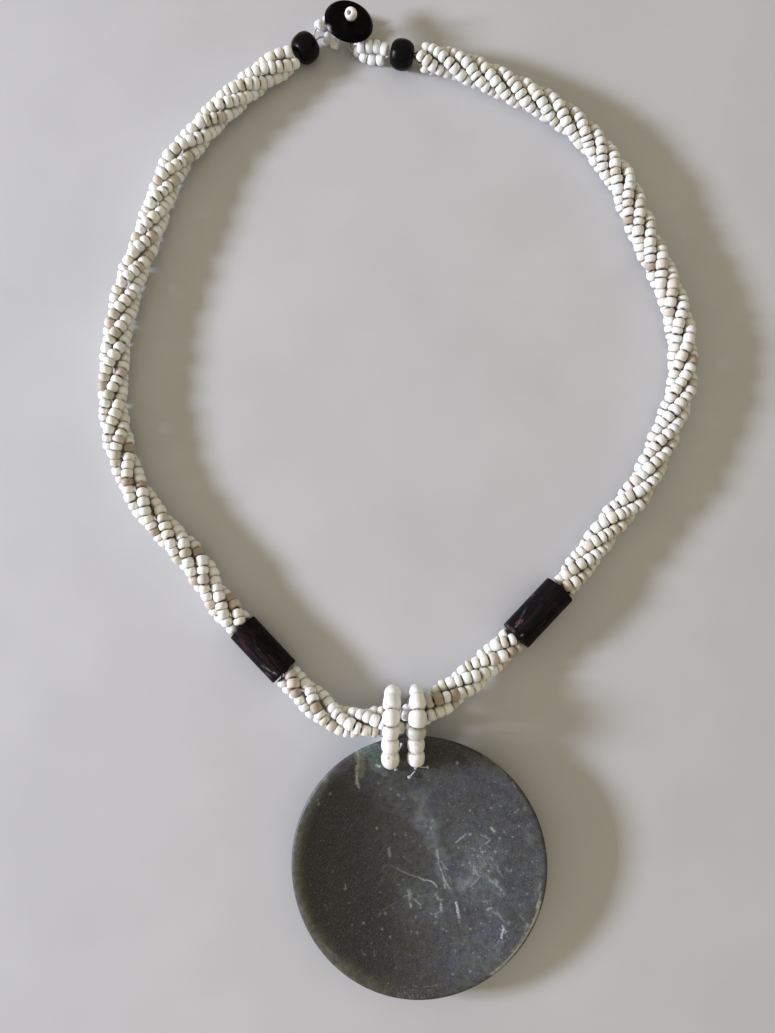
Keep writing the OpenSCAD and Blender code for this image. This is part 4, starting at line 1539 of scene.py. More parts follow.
class ShellTone(Enum):
    """Colours of the marks on the shell; the near-black one also paints the bail's shadows on it."""

    PALE = (0.36, 0.38, 0.37)
    WHITE = (0.60, 0.64, 0.62)
    CLOUD = (0.19, 0.20, 0.215)
    MIST = (0.15, 0.16, 0.17)
    DUSK = (0.092, 0.097, 0.110)
    UMBER = (0.074, 0.069, 0.066)
    SAGE = (0.115, 0.145, 0.135)
    TEAL = (0.055, 0.120, 0.098)
    JADE = (0.17, 0.30, 0.25)
    MOSS = (0.050, 0.068, 0.042)
    REED = (0.105, 0.105, 0.066)
    STRAW = (0.34, 0.325, 0.23)
    RUST = (0.085, 0.060, 0.035)
    DARK_AND_SHADOW = (0.018, 0.016, 0.017)


class WoodTone(Enum):
    """Colours of the worn places on the wooden tubes; pink also paints a highlight on one tube's end, and
    chalk a highlight on the button's edge, both painted highlights.
    """

    PLUM = (0.060, 0.020, 0.025)
    PINK = (0.30, 0.17, 0.17)
    CHALK = (0.42, 0.38, 0.37)


@dataclass(frozen=True)
class Mark:
    """A stroke on the shell or the wood: a line through its points, so wide, so strong and so soft."""

    points: tuple[tuple[float, float], ...]
    width: float
    strength: float
    tone: ShellTone | WoodTone = ShellTone.PALE
    soft: float = 0.7
    specks: float = 0.0

    def cover(self, x: Array, y: Array) -> Array:
        """Works out how strongly the mark covers each place.

        Args:
            x: First measure of each place, in millimetres.
            y: Second measure of each place.

        Returns:
            The cover, 0 to 1.
        """
        near = np.full(x.shape, 1e9)
        ends = list(zip(self.points[:-1], self.points[1:])) or [(self.points[0], self.points[0])]
        for (ax, ay), (bx, by) in ends:
            dx, dy = bx - ax, by - ay
            t = np.clip(((x - ax) * dx + (y - ay) * dy) / max(dx * dx + dy * dy, 1e-9), 0, 1)
            near = np.minimum(near, np.hypot(x - ax - t * dx, y - ay - t * dy))
        half = self.width / 2
        return self.strength * (1 - smoothstep(half * (1 - self.soft), half * (1 + self.soft), near))


def strokes(*groups: tuple) -> tuple[Mark, ...]:
    """Makes the strokes of a table.

    Args:
        groups: The table's rows. Each has a colour, how soft the edges are and how thickly pale specks lie
            along it. Then comes each stroke: its width, its strength and X and Y of each of its points.

    Returns:
        The strokes, in the order of the table.
    """
    return tuple(Mark(tuple(zip(row[2::2], row[3::2])), row[0], row[1], tone, soft, specks)
                 for tone, soft, specks, *rows in groups for row in rows)


# Where the dark and the pale ground of the shell's front meet, the pale ground being partly painted sheen:
# how far down the necklace, and X there
LIGHT_EDGE = ((60, -2), (76.7, 1.2), (82.1, 4.6), (88.0, 8.2), (93.6, 9.9), (99.3, 11.4), (126, 15))

# Strokes on the shell, from the broad ones of its ground to the scratches, ticks and chips on it; among
# them are painted shadows of the bail and painted highlights along the rim
MARKS = strokes(
    (ShellTone.DUSK, 1, 0, (8.64, 0.62, -6.5, -70.1, -0.3, -77.3)),
    (ShellTone.UMBER, 1, 0, (12.7, 0.62, 0.2, -88, 3.2, -95.2, 6, -103.8, 5.9, -116.8)),
    (ShellTone.UMBER, 1, 0.1, (4.57, 0.4, 1.5, -81.6, 3.7, -88)),
    (ShellTone.DUSK, 1, 0, (7.62, 0.38, 6, -73.6, 9.9, -78.6)),
    (ShellTone.DUSK, 1, 0.25, (14.22, 0.5, 19, -98.8, 20.6, -114.1)),
    (ShellTone.MIST, 1, 0.2, (8.64, 0.25, 17.2, -90.2, 17.8, -100.7)),
    (ShellTone.DUSK, 1, 0.2, (8.64, 0.4, 4.1, -103.8, 7.9, -106)),
    (ShellTone.MIST, 1, 0.15, (3.81, 0.85, 4.4, -78.1, 6.1, -83.1, 8, -88)),
    (ShellTone.MIST, 0.9, 0.55, (3.3, 0.35, 6.1, -83.6, 8, -86.5)),
    (ShellTone.MIST, 0.9, 0.1, (3.05, 0.5, 7.8, -87.5, 9.2, -90.9)),
    (ShellTone.MIST, 0.9, 0.2, (2.29, 0.65, 9.2, -91.6, 10.4, -95.2, 11.9, -100.3)),
    (ShellTone.SAGE, 0.9, 0.45, (6.6, 0.42, 3.1, -101.1, 8, -103.8)),
    (ShellTone.CLOUD, 0.95, 0.1,
        (1.78, 0.5, 14.7, -100.6, 16, -98.7, 17.6, -96.8, 18.8, -94.8)),
    (ShellTone.CLOUD, 0.8, 0.1, (1.02, 0.35, 15.5, -99.7, 17.2, -97.3)),
    (ShellTone.SAGE, 1, 0.85,
        (3.05, 0.28, 18.1, -92.5, 20.3, -91.2, 20.7, -93.5, 22.2, -94.9, 20.3, -95.9)),
    (ShellTone.SAGE, 1, 0.45, (6.1, 0.18, 16.7, -88.7, 21.9, -89.2)),
    (ShellTone.SAGE, 0.9, 0.4, (2.29, 0.3, 21.9, -97.4, 24.2, -99.6)),
    (ShellTone.DARK_AND_SHADOW, 0.9, 0, (3.81, 0.4, 16.1, -103.8, 17, -105.9),
        (3.81, 0.35, 25.6, -109.6, 27.2, -106.9)),
    # Painted shadow: the dark band on the shell just right of the right bail loop, in this row and the
    # first stroke of the next, stands for the shadow of the bail and the rope.
    (ShellTone.DARK_AND_SHADOW, 0.95, 0, (6.6, 1, 6.4, -64.4, 12.1, -63.8, 16.3, -65, 20.1, -67.4)),
    (ShellTone.DARK_AND_SHADOW, 1, 0, (3.56, 0.5, 6.9, -67.5, 15, -67.8),
        (2.54, 0.25, 25.7, -92.9, 26, -101.7)),
    (ShellTone.SAGE, 0.9, 0.5, (3.05, 0.1, -21.2, -76, -19.8, -78.6)),
    (ShellTone.MIST, 0.9, 0.45, (3.56, 0.1, -3.4, -75, 1, -78.3)),
    (ShellTone.CLOUD, 0.8, 0, (1.27, 0.35, -18.3, -71.5, -17.6, -72.8)),
    # Painted shadow: the dark stroke between the two bail loops stands for the bail's shadow.
    (ShellTone.DARK_AND_SHADOW, 0.9, 0, (2.54, 0.75, -1.7, -63.1, -0.5, -64.6, 0.4, -66.9)),
    (ShellTone.SAGE, 1, 0.3, (5.08, 0.2, 18.1, -94.4, 19.5, -97.1)),
    (ShellTone.DUSK, 1, 0.1, (7.11, 0.3, 12.5, -116, 17.7, -117)),
    (ShellTone.DARK_AND_SHADOW, 1, 0, (5.59, 0.28, 28.6, -81.3, 29.8, -89.7, 29.7, -101.3, 28.4, -107)),
    (ShellTone.MIST, 0.9, 0.2, (1.78, 0.3, 30.5, -86.3, 29.6, -87.8),
        (1.52, 0.35, 24.6, -111.4, 23.8, -114.2)),
    (ShellTone.MOSS, 0.9, 0, (2.79, 0.6, -9.1, -65.7, -8.9, -70.2, -9.2, -72.8)),
    (ShellTone.TEAL, 0.7, 0.1, (3.05, 0.8, -7.4, -65.2, -5.8, -66.3, -5.1, -69.4)),
    (ShellTone.TEAL, 0.7, 0, (2.03, 0.5, -6.3, -67.3, -4.8, -69.9)),
    (ShellTone.TEAL, 0.8, 0, (1.27, 0.4, -4.4, -70.9, -3.4, -71.9)),
    (ShellTone.DARK_AND_SHADOW, 0.6, 0, (0.89, 0.7, -6.7, -65.3, -6.5, -65.8),
        (0.89, 0.6, -7.4, -67, -7, -67.5)),
    (ShellTone.DARK_AND_SHADOW, 0.7, 0, (1.02, 0.4, -5.5, -65, -4.6, -66.3)),
    (ShellTone.JADE, 0.6, 0, (0.28, 0.6, -7.7, -64.5, -6.5, -66, -5.8, -67.6, -5.1, -69.1),
        (0.23, 0.4, -6.7, -67.5, -6, -69.1)),
    (ShellTone.STRAW, 0.6, 0,
        (0.46, 0.85, -10, -65.9, -9.8, -68.2, -10, -70.7, -10.1, -73.2, -9.9, -74.2, -9.6, -75.3)),
    (ShellTone.REED, 0.6, 0, (0.56, 0.9, -9.2, -65.7, -9.2, -69.2, -9.2, -72.5),
        (0.33, 0.8, -8.6, -65.7, -8.7, -69.2, -8.7, -72.3)),
    (ShellTone.REED, 0.7, 0, (0.25, 0.5, -10.5, -66.1, -10.4, -68.2),
        (0.25, 0.45, -8.1, -65.7, -8.3, -70.5)),
    (ShellTone.STRAW, 0.6, 0, (0.51, 0.8, -10.2, -69.7, -10.2, -74.2)),
    (ShellTone.WHITE, 0.6, 0, (0.66, 0.95, -5.4, -69.7, -4.6, -70)),
    (ShellTone.PALE, 0.9, 0.2, (0.61, 0.12, -3.2, -95.4, -1.5, -95.2)),
    (ShellTone.PALE, 0.7, 0, (0.3, 0.35, -0.7, -95.3, 1.2, -96.2, 2.9, -96.9, 5.1, -97.5)),
    (ShellTone.PALE, 0.6, 0,
        (0.33, 0.85, 4.9, -97.6, 6.3, -98.1, 7.5, -98.2, 8.5, -98.7, 9.1, -99.7)),
    (ShellTone.PALE, 0.7, 0, (0.56, 0.65, 9.2, -91.1, 9.5, -92.8),
        (0.28, 0.5, 9.5, -92.6, 9.7, -94.3, 10.2, -95.7)),
    (ShellTone.PALE, 0.6, 0, (0.25, 0.65, 10.2, -93.5, 10.9, -94.7, 11.8, -95.5),
        (0.28, 0.6, 10.1, -95.4, 10.6, -96.6, 10.9, -97.8), (0.23, 0.45, 10.8, -95.2, 11.4, -97)),
    (ShellTone.PALE, 0.7, 0, (0.46, 0.6, 10.8, -97.3, 11, -98.7, 11.2, -99.8)),
    (ShellTone.PALE, 0.6, 0, (0.25, 0.65, 11.2, -98, 12.1, -100),
        (0.23, 0.5, 12.1, -97.3, 12.8, -98.9), (0.2, 0.45, 11.7, -98.7, 12.7, -100.3)),
    (ShellTone.WHITE, 0.6, 0, (0.48, 0.95, 13.8, -103.1, 14, -104.3, 14.2, -105.4)),
    (ShellTone.PALE, 0.7, 0, (0.58, 0.8, 14.2, -105, 14.4, -106.3)),
    (ShellTone.SAGE, 0.8, 0, (0.51, 0.45, 14.4, -106.3, 14.5, -107.6)),
    (ShellTone.PALE, 0.7, 0.2, (0.53, 0.8, 10.1, -103.5, 10.2, -105.1)),
    (ShellTone.PALE, 0.7, 0, (0.41, 0.65, 9.3, -102.3, 10.4, -102.6),
        (0.51, 0.4, 8.7, -101.4, 9.4, -102), (0.33, 0.4, 7.5, -105.8, 8.9, -105.9, 9.6, -105.3)),
    (ShellTone.PALE, 0.8, 0.2, (0.71, 0.55, 2.4, -100.6, 2.7, -102.2)),
    (ShellTone.PALE, 0.7, 0, (0.41, 0.4, 1.3, -101.8, 3.1, -101.3),
        (0.43, 0.45, 3.6, -102.5, 4.3, -102.9, 5.1, -103.8), (0.51, 0.7, 2.6, -103.4, 2.9, -104.2)),
    (ShellTone.PALE, 0.8, 0, (0.66, 0.42, -2.4, -90.5, -2.3, -92.3)),
    (ShellTone.PALE, 0.9, 0, (0.66, 0.4, 17.1, -95.6, 18.1, -94.5)),
    (ShellTone.PALE, 0.8, 0, (0.36, 0.4, 18.5, -95.6, 19.3, -96.9, 18.5, -98.1, 17.4, -99.1)),
    (ShellTone.PALE, 0.7, 0.2, (0.36, 0.55, 13.8, -89.1, 14.8, -88, 16.2, -86.9)),
    (ShellTone.PALE, 0.8, 0.2, (0.38, 0.4, 19.8, -86.9, 21, -87.2, 21.9, -87.9, 21, -89)),
    (ShellTone.PALE, 0.7, 0, (0.61, 0.75, 22.2, -85.1, 22.9, -85.8)),
    (ShellTone.PALE, 0.8, 0, (0.56, 0.4, 21.9, -97.7, 23.3, -97.9),
        (0.61, 0.42, 23.4, -98.4, 24.5, -99.5)),
    (ShellTone.PALE, 0.7, 0, (0.48, 0.6, 21.1, -104.3, 22, -103.8),
        (0.25, 0.45, 22.5, -104.6, 23.6, -105.1, 24.4, -106.1, 25, -106.7),
        (0.2, 0.35, 23.4, -104.6, 24.8, -105.7)),
    (ShellTone.PALE, 0.6, 0, (0.38, 0.85, 24.6, -107.5, 24.9, -108.3, 25.4, -108.8)),
    (ShellTone.WHITE, 0.6, 0, (0.41, 0.8, 24.7, -108.3, 24.5, -109.1, 24.2, -110.2)),
    (ShellTone.PALE, 0.6, 0, (0.28, 0.5, 24, -108.3, 25.1, -109.2)),
    (ShellTone.PALE, 0.7, 0, (0.25, 0.35, 23.7, -110.8, 22.5, -112.5)),
    (ShellTone.STRAW, 0.7, 0, (0.28, 0.5, 30.2, -106.3, 30.8, -107.7)),
    (ShellTone.PALE, 0.7, 0, (0.28, 0.35, 29.3, -107.1, 29.9, -107.6)),
    # Painted highlight: a thin straw line along the edge of the lower right rim, where it faces the window.
    (ShellTone.STRAW, 0.4, 0,
        (0.66, 1, 33.2, -101.5, 32.6, -104.2, 31.2, -107, 29.8, -109.4, 28.2, -111.7, 26.3, -114,
         24.2, -116.2, 21.7, -118.1)),
    # Painted highlight: a straw line on the edge of the right rim.
    (ShellTone.STRAW, 0.6, 0, (0.41, 0.5, 33.4, -97.2, 33.3, -101.7)),
    (ShellTone.STRAW, 0.7, 0, (0.3, 0.6, 30.4, -106.7, 29.9, -108.1)),
    (ShellTone.DUSK, 0.9, 0, (1.52, 0.4, 33.4, -93.5, 33.5, -98.5, 33.3, -102.2)),
    # Painted highlight: straw lines on the edge of the right and the upper right rim.
    (ShellTone.STRAW, 0.7, 0, (0.41, 0.6, 33.1, -100.6, 33, -102.7, 32.4, -104.1),
        (0.3, 0.35, 20.1, -67.4, 22.7, -69, 25.6, -71.9), (0.3, 0.5, 26.8, -73.3, 27.7, -74.5)),
    # The olive strokes along the left, lower left and bottom rim in the rows below are partly the rim's own
    # colour and partly painted highlight, where the rim faces the window.
    (ShellTone.REED, 0.9, 0,
        (1.52, 0.2, -25.8, -93.3, -25.2, -88.2, -24, -83.5, -22.1, -78.8)),
    (ShellTone.RUST, 0.9, 0, (0.89, 0.4, -25.2, -90.6, -24.3, -85.9)),
    (ShellTone.REED, 0.9, 0,
        (2.79, 0.4, -25.4, -97.3, -23.7, -102.6, -20.9, -108, -17.1, -112.9, -12.4, -116.9, -6.9, -120.1)),
    (ShellTone.STRAW, 0.8, 0, (0.61, 0.15, -23.5, -102, -21.4, -106),
        (0.61, 0.2, -19.2, -110.2, -14.5, -114.6)),
    (ShellTone.REED, 0.9, 0.2, (1.78, 0.35, -11.6, -117.5, -1.7, -121.5)),
    (ShellTone.DARK_AND_SHADOW, 1, 0, (4.57, 0.4, -19.8, -101.3, -17.8, -109.2, -14.5, -113.8)),
    (ShellTone.MIST, 1, 0.3, (2.54, 0.35, -22.6, -77.3, -18.3, -72.7, -14.1, -70)),
    (ShellTone.STRAW, 0.6, 0, (0.23, 0.38, -0.3, -122.5, -0.2, -123.4),
        (0.23, 0.48, 0.7, -122.7, 0.8, -123.8), (0.23, 0.46, 1.3, -122.4, 1.4, -122.9),
        (0.23, 0.46, 2.3, -122.8, 2.4, -123.5), (0.23, 0.36, 3.1, -122.8, 3.2, -123.7),
        (0.23, 0.38, 4.4, -122.8, 4.5, -123.5), (0.23, 0.26, 5.2, -122.7, 5.3, -123.5),
        (0.23, 0.22, 5.8, -122.8, 5.9, -123.5), (0.23, 0.36, 6.9, -122.6, 7, -123.1),
        (0.23, 0.22, 7.7, -122.4, 7.8, -122.9), (0.23, 0.22, 13.3, -121.7, 13.4, -122.2),
        (0.23, 0.4, 14.1, -122, 14.2, -123), (0.23, 0.3, 14.9, -121.8, 15, -122.5),
        (0.23, 0.3, 15.9, -121.5, 16, -122.3)),
    (ShellTone.PALE, 0.7, 0, (0.3, 0.2, 0.4, -121.2, 1.6, -121.3),
        (0.3, 0.22, 3.2, -121, 4.2, -121.1), (0.3, 0.25, 5.8, -121.2, 7, -121.1),
        (0.3, 0.2, 7.9, -121, 8.9, -120.8), (0.3, 0.15, 2, -121.8, 3.5, -121.8),
        (0.3, 0.15, 6.5, -121.8, 7.7, -121.7), (0.3, 0.3, -6, -113.6, -5.9, -114.7),
        (0.3, 0.2, -8.9, -113.2, -8.7, -114.1), (0.3, 0.3, -13, -98.3, -12.8, -99.5),
        (0.3, 0.15, -17.5, -102.7, -17.2, -103.9), (0.3, 0.15, -16.5, -102.4, -16.2, -103.3),
        (0.3, 0.15, -3.9, -104.8, -2.7, -104.2), (0.3, 0.15, -2.2, -103.9, -1.2, -103.3),
        (0.3, 0.35, 20.2, -102.6, 20.9, -102.1), (0.3, 0.3, 28.7, -104.7, 29.5, -105.7),
        (0.3, 0.4, 23.6, -94, 24, -95.4), (0.3, 0.35, 24.3, -95.2, 24.6, -96.3),
        (0.3, 0.3, 25.7, -94.3, 26.3, -95.2), (0.3, 0.4, 17.9, -90.1, 18.4, -90.8),
        (0.3, 0.4, 21.5, -89.4, 22.2, -89.9), (0.3, 0.5, 20.5, -93.1, 20.9, -93.8),
        (0.3, 0.45, 22.2, -92, 22.6, -92.7), (0.3, 0.4, 19.3, -94.6, 19.8, -95.3),
        (0.3, 0.45, 21.4, -96.5, 21.9, -97.4), (0.3, 0.45, 23.1, -97.1, 23.8, -97.8),
        (0.3, 0.35, 23.7, -100.3, 24.4, -100.9), (0.3, 0.45, 20, -91, 20.8, -90.7)),
)

# Small pale dots on the shell: X, Y, width and strength
DOTS = (
    (-1.1, -87, 0.56, 0.35), (1.7, -87.3, 0.5, 0.35), (5.1, -90, 0.45, 0.3), (4.3, -110, 0.5, 0.5),
    (2.9, -109.8, 0.45, 0.4), (-2.2, -110.8, 0.5, 0.75), (-4.1, -109, 0.56, 0.5),
    (-3.3, -105.5, 0.67, 0.5), (-4.6, -105.7, 0.5, 0.35), (-1.5, -104.4, 0.45, 0.3),
    (2.5, -102.5, 0.5, 0.6), (4.8, -101.8, 0.45, 0.4), (5.3, -104.5, 0.5, 0.4),
    (7.7, -105.6, 0.45, 0.45), (8.9, -106.4, 0.5, 0.7), (4, -106.5, 0.45, 0.45),
    (9.2, -101, 0.45, 0.35), (17.2, -86.8, 0.56, 0.9), (23.2, -90.7, 0.59, 0.85), (19.6, -90, 0.5, 0.4),
    (20, -91, 0.56, 0.45), (17.9, -91.8, 0.5, 0.45), (19.1, -92, 0.5, 0.45), (21.6, -95.4, 0.45, 0.8),
    (15.5, -94.3, 0.5, 0.5), (14.4, -90.3, 0.5, 0.45), (17.1, -81, 0.67, 0.4), (22.1, -80.1, 0.5, 0.5),
    (26.8, -94.9, 0.42, 0.6), (30.4, -99.8, 0.56, 0.55), (31.6, -92.1, 0.47, 0.5),
    (27.7, -80.7, 0.45, 0.5), (28.2, -80, 0.45, 0.5), (29.9, -79.7, 0.73, 0.4),
    (25.2, -85.8, 0.47, 0.45), (27.2, -86.8, 0.42, 0.45), (24.2, -87.3, 0.47, 0.55),
    (26.1, -106.8, 0.73, 0.4), (17.1, -108.8, 0.5, 0.6), (15.8, -104.5, 0.5, 0.45),
    (11.3, -109.5, 0.5, 0.4), (10.6, -109.1, 0.45, 0.35), (9.9, -113, 0.42, 0.35),
    (11.3, -112.9, 0.42, 0.35), (-16.5, -76.3, 0.56, 0.5), (-19.3, -77.6, 0.45, 0.45),
    (-19.2, -78.6, 0.61, 0.6), (-4.9, -74.2, 0.53, 0.55), (-2, -75.8, 0.56, 0.5),
    (-4.6, -77.2, 0.42, 0.4), (-0.2, -77.3, 0.61, 0.5), (0.8, -78.3, 0.42, 0.4),
    (1.3, -78.2, 0.42, 0.4), (-5.4, -85.4, 0.5, 0.6), (8.1, -83.7, 0.5, 0.7), (7.8, -85.6, 0.56, 0.6),
    (6.6, -85.1, 0.5, 0.4), (7.1, -86.8, 0.5, 0.4), (13.9, -69.1, 0.64, 0.85),
    (16.7, -117.6, 0.53, 0.55), (12.7, -118.5, 0.47, 0.5), (21.1, -102.5, 0.42, 0.35),
    (20.1, -109, 0.42, 0.4), (-8.2, -114.3, 0.5, 0.5), (-13, -99.5, 0.56, 0.5),
    (-12, -102.7, 0.45, 0.4), (-15.9, -95.1, 0.42, 0.35), (-17.7, -102.7, 0.42, 0.35),
    (-11.3, -107.7, 0.47, 0.4), (-6.7, -111.9, 0.42, 0.4), (-0.2, -95.2, 0.39, 0.3),
    (1.2, -92.6, 0.39, 0.3), (-4.6, -100.7, 0.42, 0.35), (-8.6, -107.4, 0.53, 0.55),
    (11.7, -83.5, 0.42, 0.35), (13.1, -86.9, 0.42, 0.3), (25.9, -90.3, 0.45, 0.4),
    (28.6, -84, 0.42, 0.4), (31.1, -83.3, 0.42, 0.35), (18.1, -69, 0.42, 0.35),
    (22.3, -76.8, 0.45, 0.35), (24.4, -79.4, 0.42, 0.35), (13.3, -113.7, 0.45, 0.4),
    (18.9, -114.6, 0.47, 0.4), (15, -112.1, 0.42, 0.35), (28.7, -102.5, 0.47, 0.4),
    (27.4, -99, 0.42, 0.35), (29.5, -95.1, 0.42, 0.35), (7.3, -116.8, 0.45, 0.35),
    (2.6, -114.7, 0.42, 0.3), (-0.8, -117.3, 0.42, 0.35),
)

# Rubbed places on the tubes, and a painted highlight on the right tube's end, by length from the middle and
# distance round from the top
LEFT_TUBE_MARKS = strokes(
    (WoodTone.PLUM, 0.9, 0, (1.5, 0.8, -4.9, -2, -2.8, -2.5), (0.6, 0.25, -6, 0.6, -4, 1.2, -0.9, -0.6),
        (0.8, 0.3, -1.5, -2.6, 2.5, -2.3)),
    (WoodTone.CHALK, 0.9, 0, (0.4, 0.35, 2.9, -2.8, 4.4, -1.9, 5.2, -1.9),
        (0.4, 0.3, 4.4, -3.6, 6.3, -2.9), (0.4, 0.6, 5.8, -1.6, 6.5, -1.2)),
    (WoodTone.PLUM, 0.9, 0, (0.6, 0.25, 2, 0.6, 5.2, 1)),
)
RIGHT_TUBE_MARKS = strokes(
    (WoodTone.PINK, 0.9, 0, (0.9, 0.4, -5.6, 2.6, -4.6, 2.4)),
    (WoodTone.CHALK, 0.9, 0, (0.25, 0.4, -1.3, 4, -2.6, 3.4, -4, 2.9)),
    (WoodTone.CHALK, 0.7, 0, (0.35, 0.8, -5.9, 2.3, -6.4, 2.2), (0.4, 0.8, 1.9, 5.5, 2.3, 5.5),
        (0.45, 0.9, -7.4, -0.4, -7.2, -0.2)),
    # Painted highlight: a thin pink line along the edge of the right tube's lower left end, which faces the
    # window.
    (WoodTone.PINK, 0.8, 0, (0.3, 0.5, -7.75, 5.6, -7.85, 3.8, -7.8, 1.6)),
    (WoodTone.PLUM, 0.9, 0, (0.7, 0.25, -4, 0.8, 1.5, 1.6), (0.6, 0.25, -1, -1.2, 4.5, -0.4),
        (0.5, 0.35, -6.5, 1.2, -4.5, 1)),
)


@dataclass
class ThreadEnds:
    """The short ends of nylon line and thread that show beside the beads."""

    tone: Triple = (0.8, 0.8, 0.78)
    line_radius: float = 0.17 * MM
    knob_radius: float = 0.42 * MM
    arch: float = 0.18 * MM
    sink: float = 0.1 * MM
    rings: int = 11
    sides: int = 16
    line_sides: int = 10
    pole_gap: float = 0.12
    lumps: Triple = (0.12, 0.1, 0.1)
    first_seed: int = 30
    roots: tuple = ((-1.6, -69.9), (3.9, -71.2), (5.0, -70.1), (-0.5, -66.7))
    knobs: tuple = ((-0.8, -70.6), (2.5, -72.6), (6.8, -70.1), (0.6, -64.4))

    def blob(self, pile: Pile, centre: Array, seed: int) -> None:
        """Adds a melted knob of line to a pile.

        Args:
            pile: Where it goes.
            centre: Its middle.
            seed: Number of the draw of its shape.
        """
        rng = np.random.default_rng(seed)
        polar = np.linspace(self.pole_gap, np.pi - self.pole_gap, self.rings)[:, None]
        theta = 2 * np.pi * np.arange(self.sides) / self.sides
        p = rng.uniform(0, 2 * np.pi, 4)
        two, three, along = self.lumps
        swell = (1 + two * np.sin(2 * theta[None, :] + p[0]) * np.sin(polar)
                 + three * np.sin(3 * theta[None, :] + p[1] + polar) + along * np.cos(2 * polar + p[2]))
        direction = np.stack([np.sin(polar) * np.cos(theta), np.sin(polar) * np.sin(theta),
                              -np.cos(polar) * np.ones(self.sides)], axis=-1)
        points = (centre + self.knob_radius * swell[..., None] * direction).reshape(-1, 3)
        pile.add(points, ring_faces(self.rings, self.sides, closed=False), self.tone, 0.0)

    def build(self, nylon: Material) -> None:
        """Makes the melted ends below the bail loops, each in place of its own solid.

        Args:
            nylon: Their finish.
        """
        for i, (root, knob) in enumerate(zip(self.roots, self.knobs), start=1):
            low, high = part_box(f"thread_tail_{i}")
            z = (low[2] + high[2]) / 2
            tip = np.array((knob[0] * MM, knob[1] * MM, z))
            start = np.array((root[0] * MM, root[1] * MM, z - self.sink))
            t = np.linspace(0, 1, 10)[:, None]
            path = start + (tip - start) * t + np.array((0, 0, self.arch)) * np.sin(np.pi * t)
            pile = Pile()
            pile.tube(path, self.line_radius, self.tone, self.line_sides)
            self.blob(pile, tip, self.first_seed + i)
            pile.build(f"melted_end_{i}", nylon, "nylon_thread", f"thread_tail_{i}")


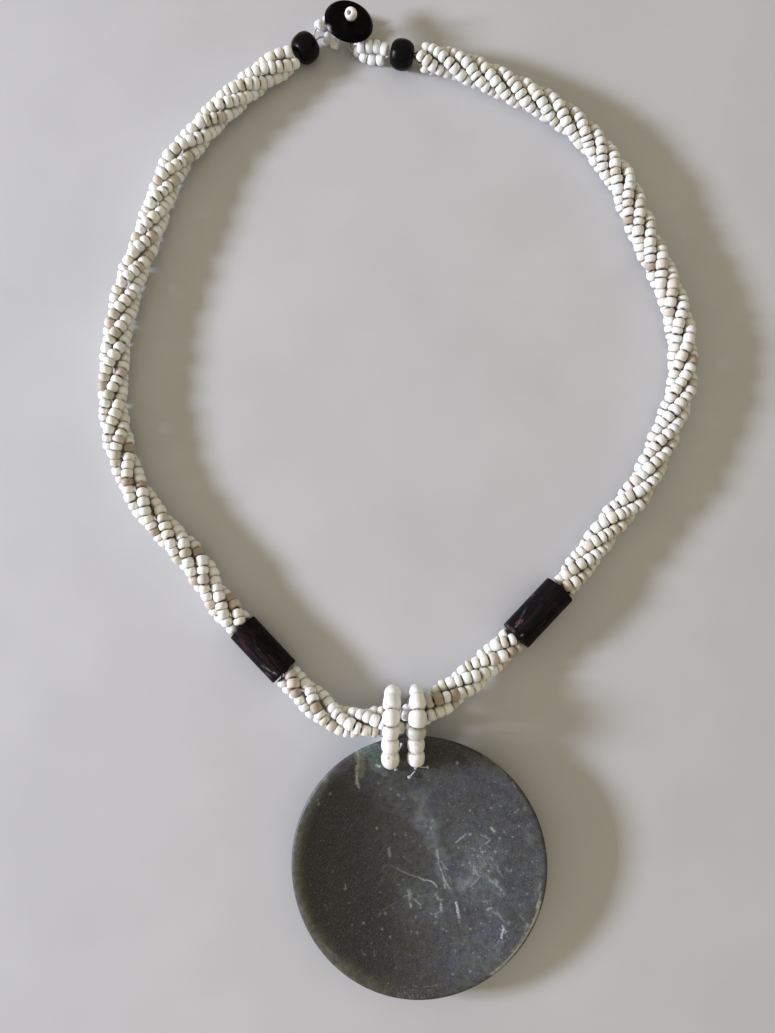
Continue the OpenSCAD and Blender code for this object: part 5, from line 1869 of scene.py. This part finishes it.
@dataclass
class Studio:
    """The floor, the window light on the left, the light of the room and the camera."""

    floor_width: float = 3.0
    floor_tone: Triple = (0.56, 0.555, 0.56)
    floor_shade: float = 0.94
    window_power: float = 12.4
    window_light: Triple = (0.755, 0.80, 0.97)
    window_distance: float = 1.2
    window_height: float = 19.4
    window_turn: float = 180.0
    pane: tuple[float, float] = (0.12, 0.135)
    pane_gap: float = 0.025
    room_light: Triple = (1.0, 0.915, 0.71)
    room_low: float = 0.26
    room_high: float = 0.615
    camera_place: Triple = (-0.0028, -0.0265, 0.198)
    camera_tilt: float = 5.0
    camera_lens: float = 26.0
    camera_sensor: float = 34.61
    camera_clip: tuple[float, float] = (0.01, 10.0)

    def floor(self) -> None:
        """Lays the floor that the necklace rests on."""
        h = self.floor_width / 2
        mesh = bpy.data.meshes.new("floor")
        mesh.from_pydata([(-h, -h, 0), (h, -h, 0), (h, h, 0), (-h, h, 0)], [], [(0, 1, 2, 3)])
        dye = Dye("floor", Roughness=0.75, Specular_IOR_Level=0.2)
        shade = tuple(self.floor_shade * part for part in self.floor_tone)
        dye.colour(dye.veil(self.floor_tone, shade, dye.noise(30, 4), 0.35, 0.65))
        mesh.materials.append(dye.material)
        floor = show("floor", mesh)

    def window(self) -> None:
        """Hangs the two panes of the window on the left, facing the necklace."""
        turn, height = math.radians(self.window_turn), math.radians(self.window_height)
        place = self.window_distance * Vector((math.cos(turn) * math.cos(height),
                                               math.sin(turn) * math.cos(height), math.sin(height)))
        facing = (-place).to_track_quat("-Z", "Y")
        across = facing @ Vector((1, 0, 0))
        for k, side in ((-1, "left"), (1, "right")):
            light = bpy.data.lights.new(f"window_{side}", "AREA")
            light.shape = "RECTANGLE"
            light.size, light.size_y = self.pane
            light.energy = self.window_power
            light.color = self.window_light
            pane = show(light.name, light)
            pane.location = place + across * k * (self.pane[0] + self.pane_gap) / 2
            pane.rotation_mode = "QUATERNION"
            pane.rotation_quaternion = facing

    def room(self) -> None:
        """Fills the room with soft warm light, which grows towards the ceiling."""
        world = bpy.data.worlds.new("room")
        world.use_nodes = True
        nodes, links = world.node_tree.nodes, world.node_tree.links
        sky = nodes["Background"]
        sky.inputs["Color"].default_value = (*self.room_light, 1.0)
        height = nodes.new("ShaderNodeSeparateXYZ")
        rise = nodes.new("ShaderNodeMapRange")
        rise.inputs["To Min"].default_value = self.room_low
        rise.inputs["To Max"].default_value = self.room_high
        links.new(nodes.new("ShaderNodeTexCoord").outputs["Generated"], height.inputs["Vector"])
        links.new(height.outputs["Z"], rise.inputs["Value"])
        links.new(rise.outputs["Result"], sky.inputs["Strength"])
        bpy.context.scene.world = world

    def camera(self) -> None:
        """Sets the camera where the photograph was taken from."""
        data = bpy.data.cameras.new("camera")
        data.lens = self.camera_lens
        data.sensor_fit = "AUTO"
        data.sensor_width = self.camera_sensor
        data.clip_start, data.clip_end = self.camera_clip
        camera = show("camera", data)
        camera.location = self.camera_place
        camera.rotation_euler = (math.radians(self.camera_tilt), 0, 0)
        bpy.context.scene.camera = camera
        bpy.context.scene.view_settings.view_transform = "Standard"

    def build(self) -> None:
        """Sets up the whole studio."""
        self.camera()
        self.floor()
        self.window()
        self.room()
        LOG.info("studio ready")


def dress_solids(cord: Material, strand: Material) -> None:
    """Gives the solids that stay in view their finish.

    Args:
        cord: Finish of the threads through the clasp and the bail.
        strand: Finish of the gathered threads in the bores.
    """
    for name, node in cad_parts.items():
        if node.hide_render:
            continue
        node.data.materials.clear()
        node.data.materials.append(strand if name.startswith("core_") else cord)
        LOG.info("%s: dressed", name)


def main() -> None:
    """Builds the studio and every sub-assembly, in order."""
    logging.basicConfig(level=logging.INFO, format="%(name)s: %(message)s")
    Studio().build()
    seed_glass = BeadGlass("seed_bead_glass", roughness=0.62, grain=0.5).material()
    bail_glass = BeadGlass("bail_bead_glass", roughness=0.36, grain=0.25).material()
    polished = PolishedWood("polished_wood", gloss=0.10).material()
    # The button's finish, which also shows its painted highlight.
    worn = PolishedWood("button_wood", gloss=0.035).material()
    shell = GroundShell("ground_shell").material()
    strand = Thread("strand_thread", (0.075, 0.045, 0.03), roughness=0.8).material()
    nylon = Thread("nylon_thread", (0.72, 0.72, 0.7), roughness=0.35, clear=0.25).material()
    Rope().build(seed_glass, strand)
    WoodenBeads().build(polished)
    Clasp().build(seed_glass, bail_glass, worn)
    for loop in (
            BailLoop("bail_left", BAIL_LEFT, seed=41, tints_and_painted_shade={1: (1.0, 0.985, 0.93)},
                     painted_hole_shade=((-2.6, -66.75, 0.6, 0.55),)),
            # Bead 3 of the right loop is painted a darker grey: painted shade.
            BailLoop("bail_right", BAIL_RIGHT, seed=42, tints_and_painted_shade={3: (0.64, 0.64, 0.60)},
                     painted_hole_shade=((3.85, -63.3, 0.7, 0.5),))):
        loop.build(bail_glass)
    ShellDisc().build(shell)
    ThreadEnds().build(nylon)
    cord = Thread("bead_cord", (0.76, 0.75, 0.71), roughness=0.6).material()
    dress_solids(cord, strand)


if __name__ == "__main__":
    main()
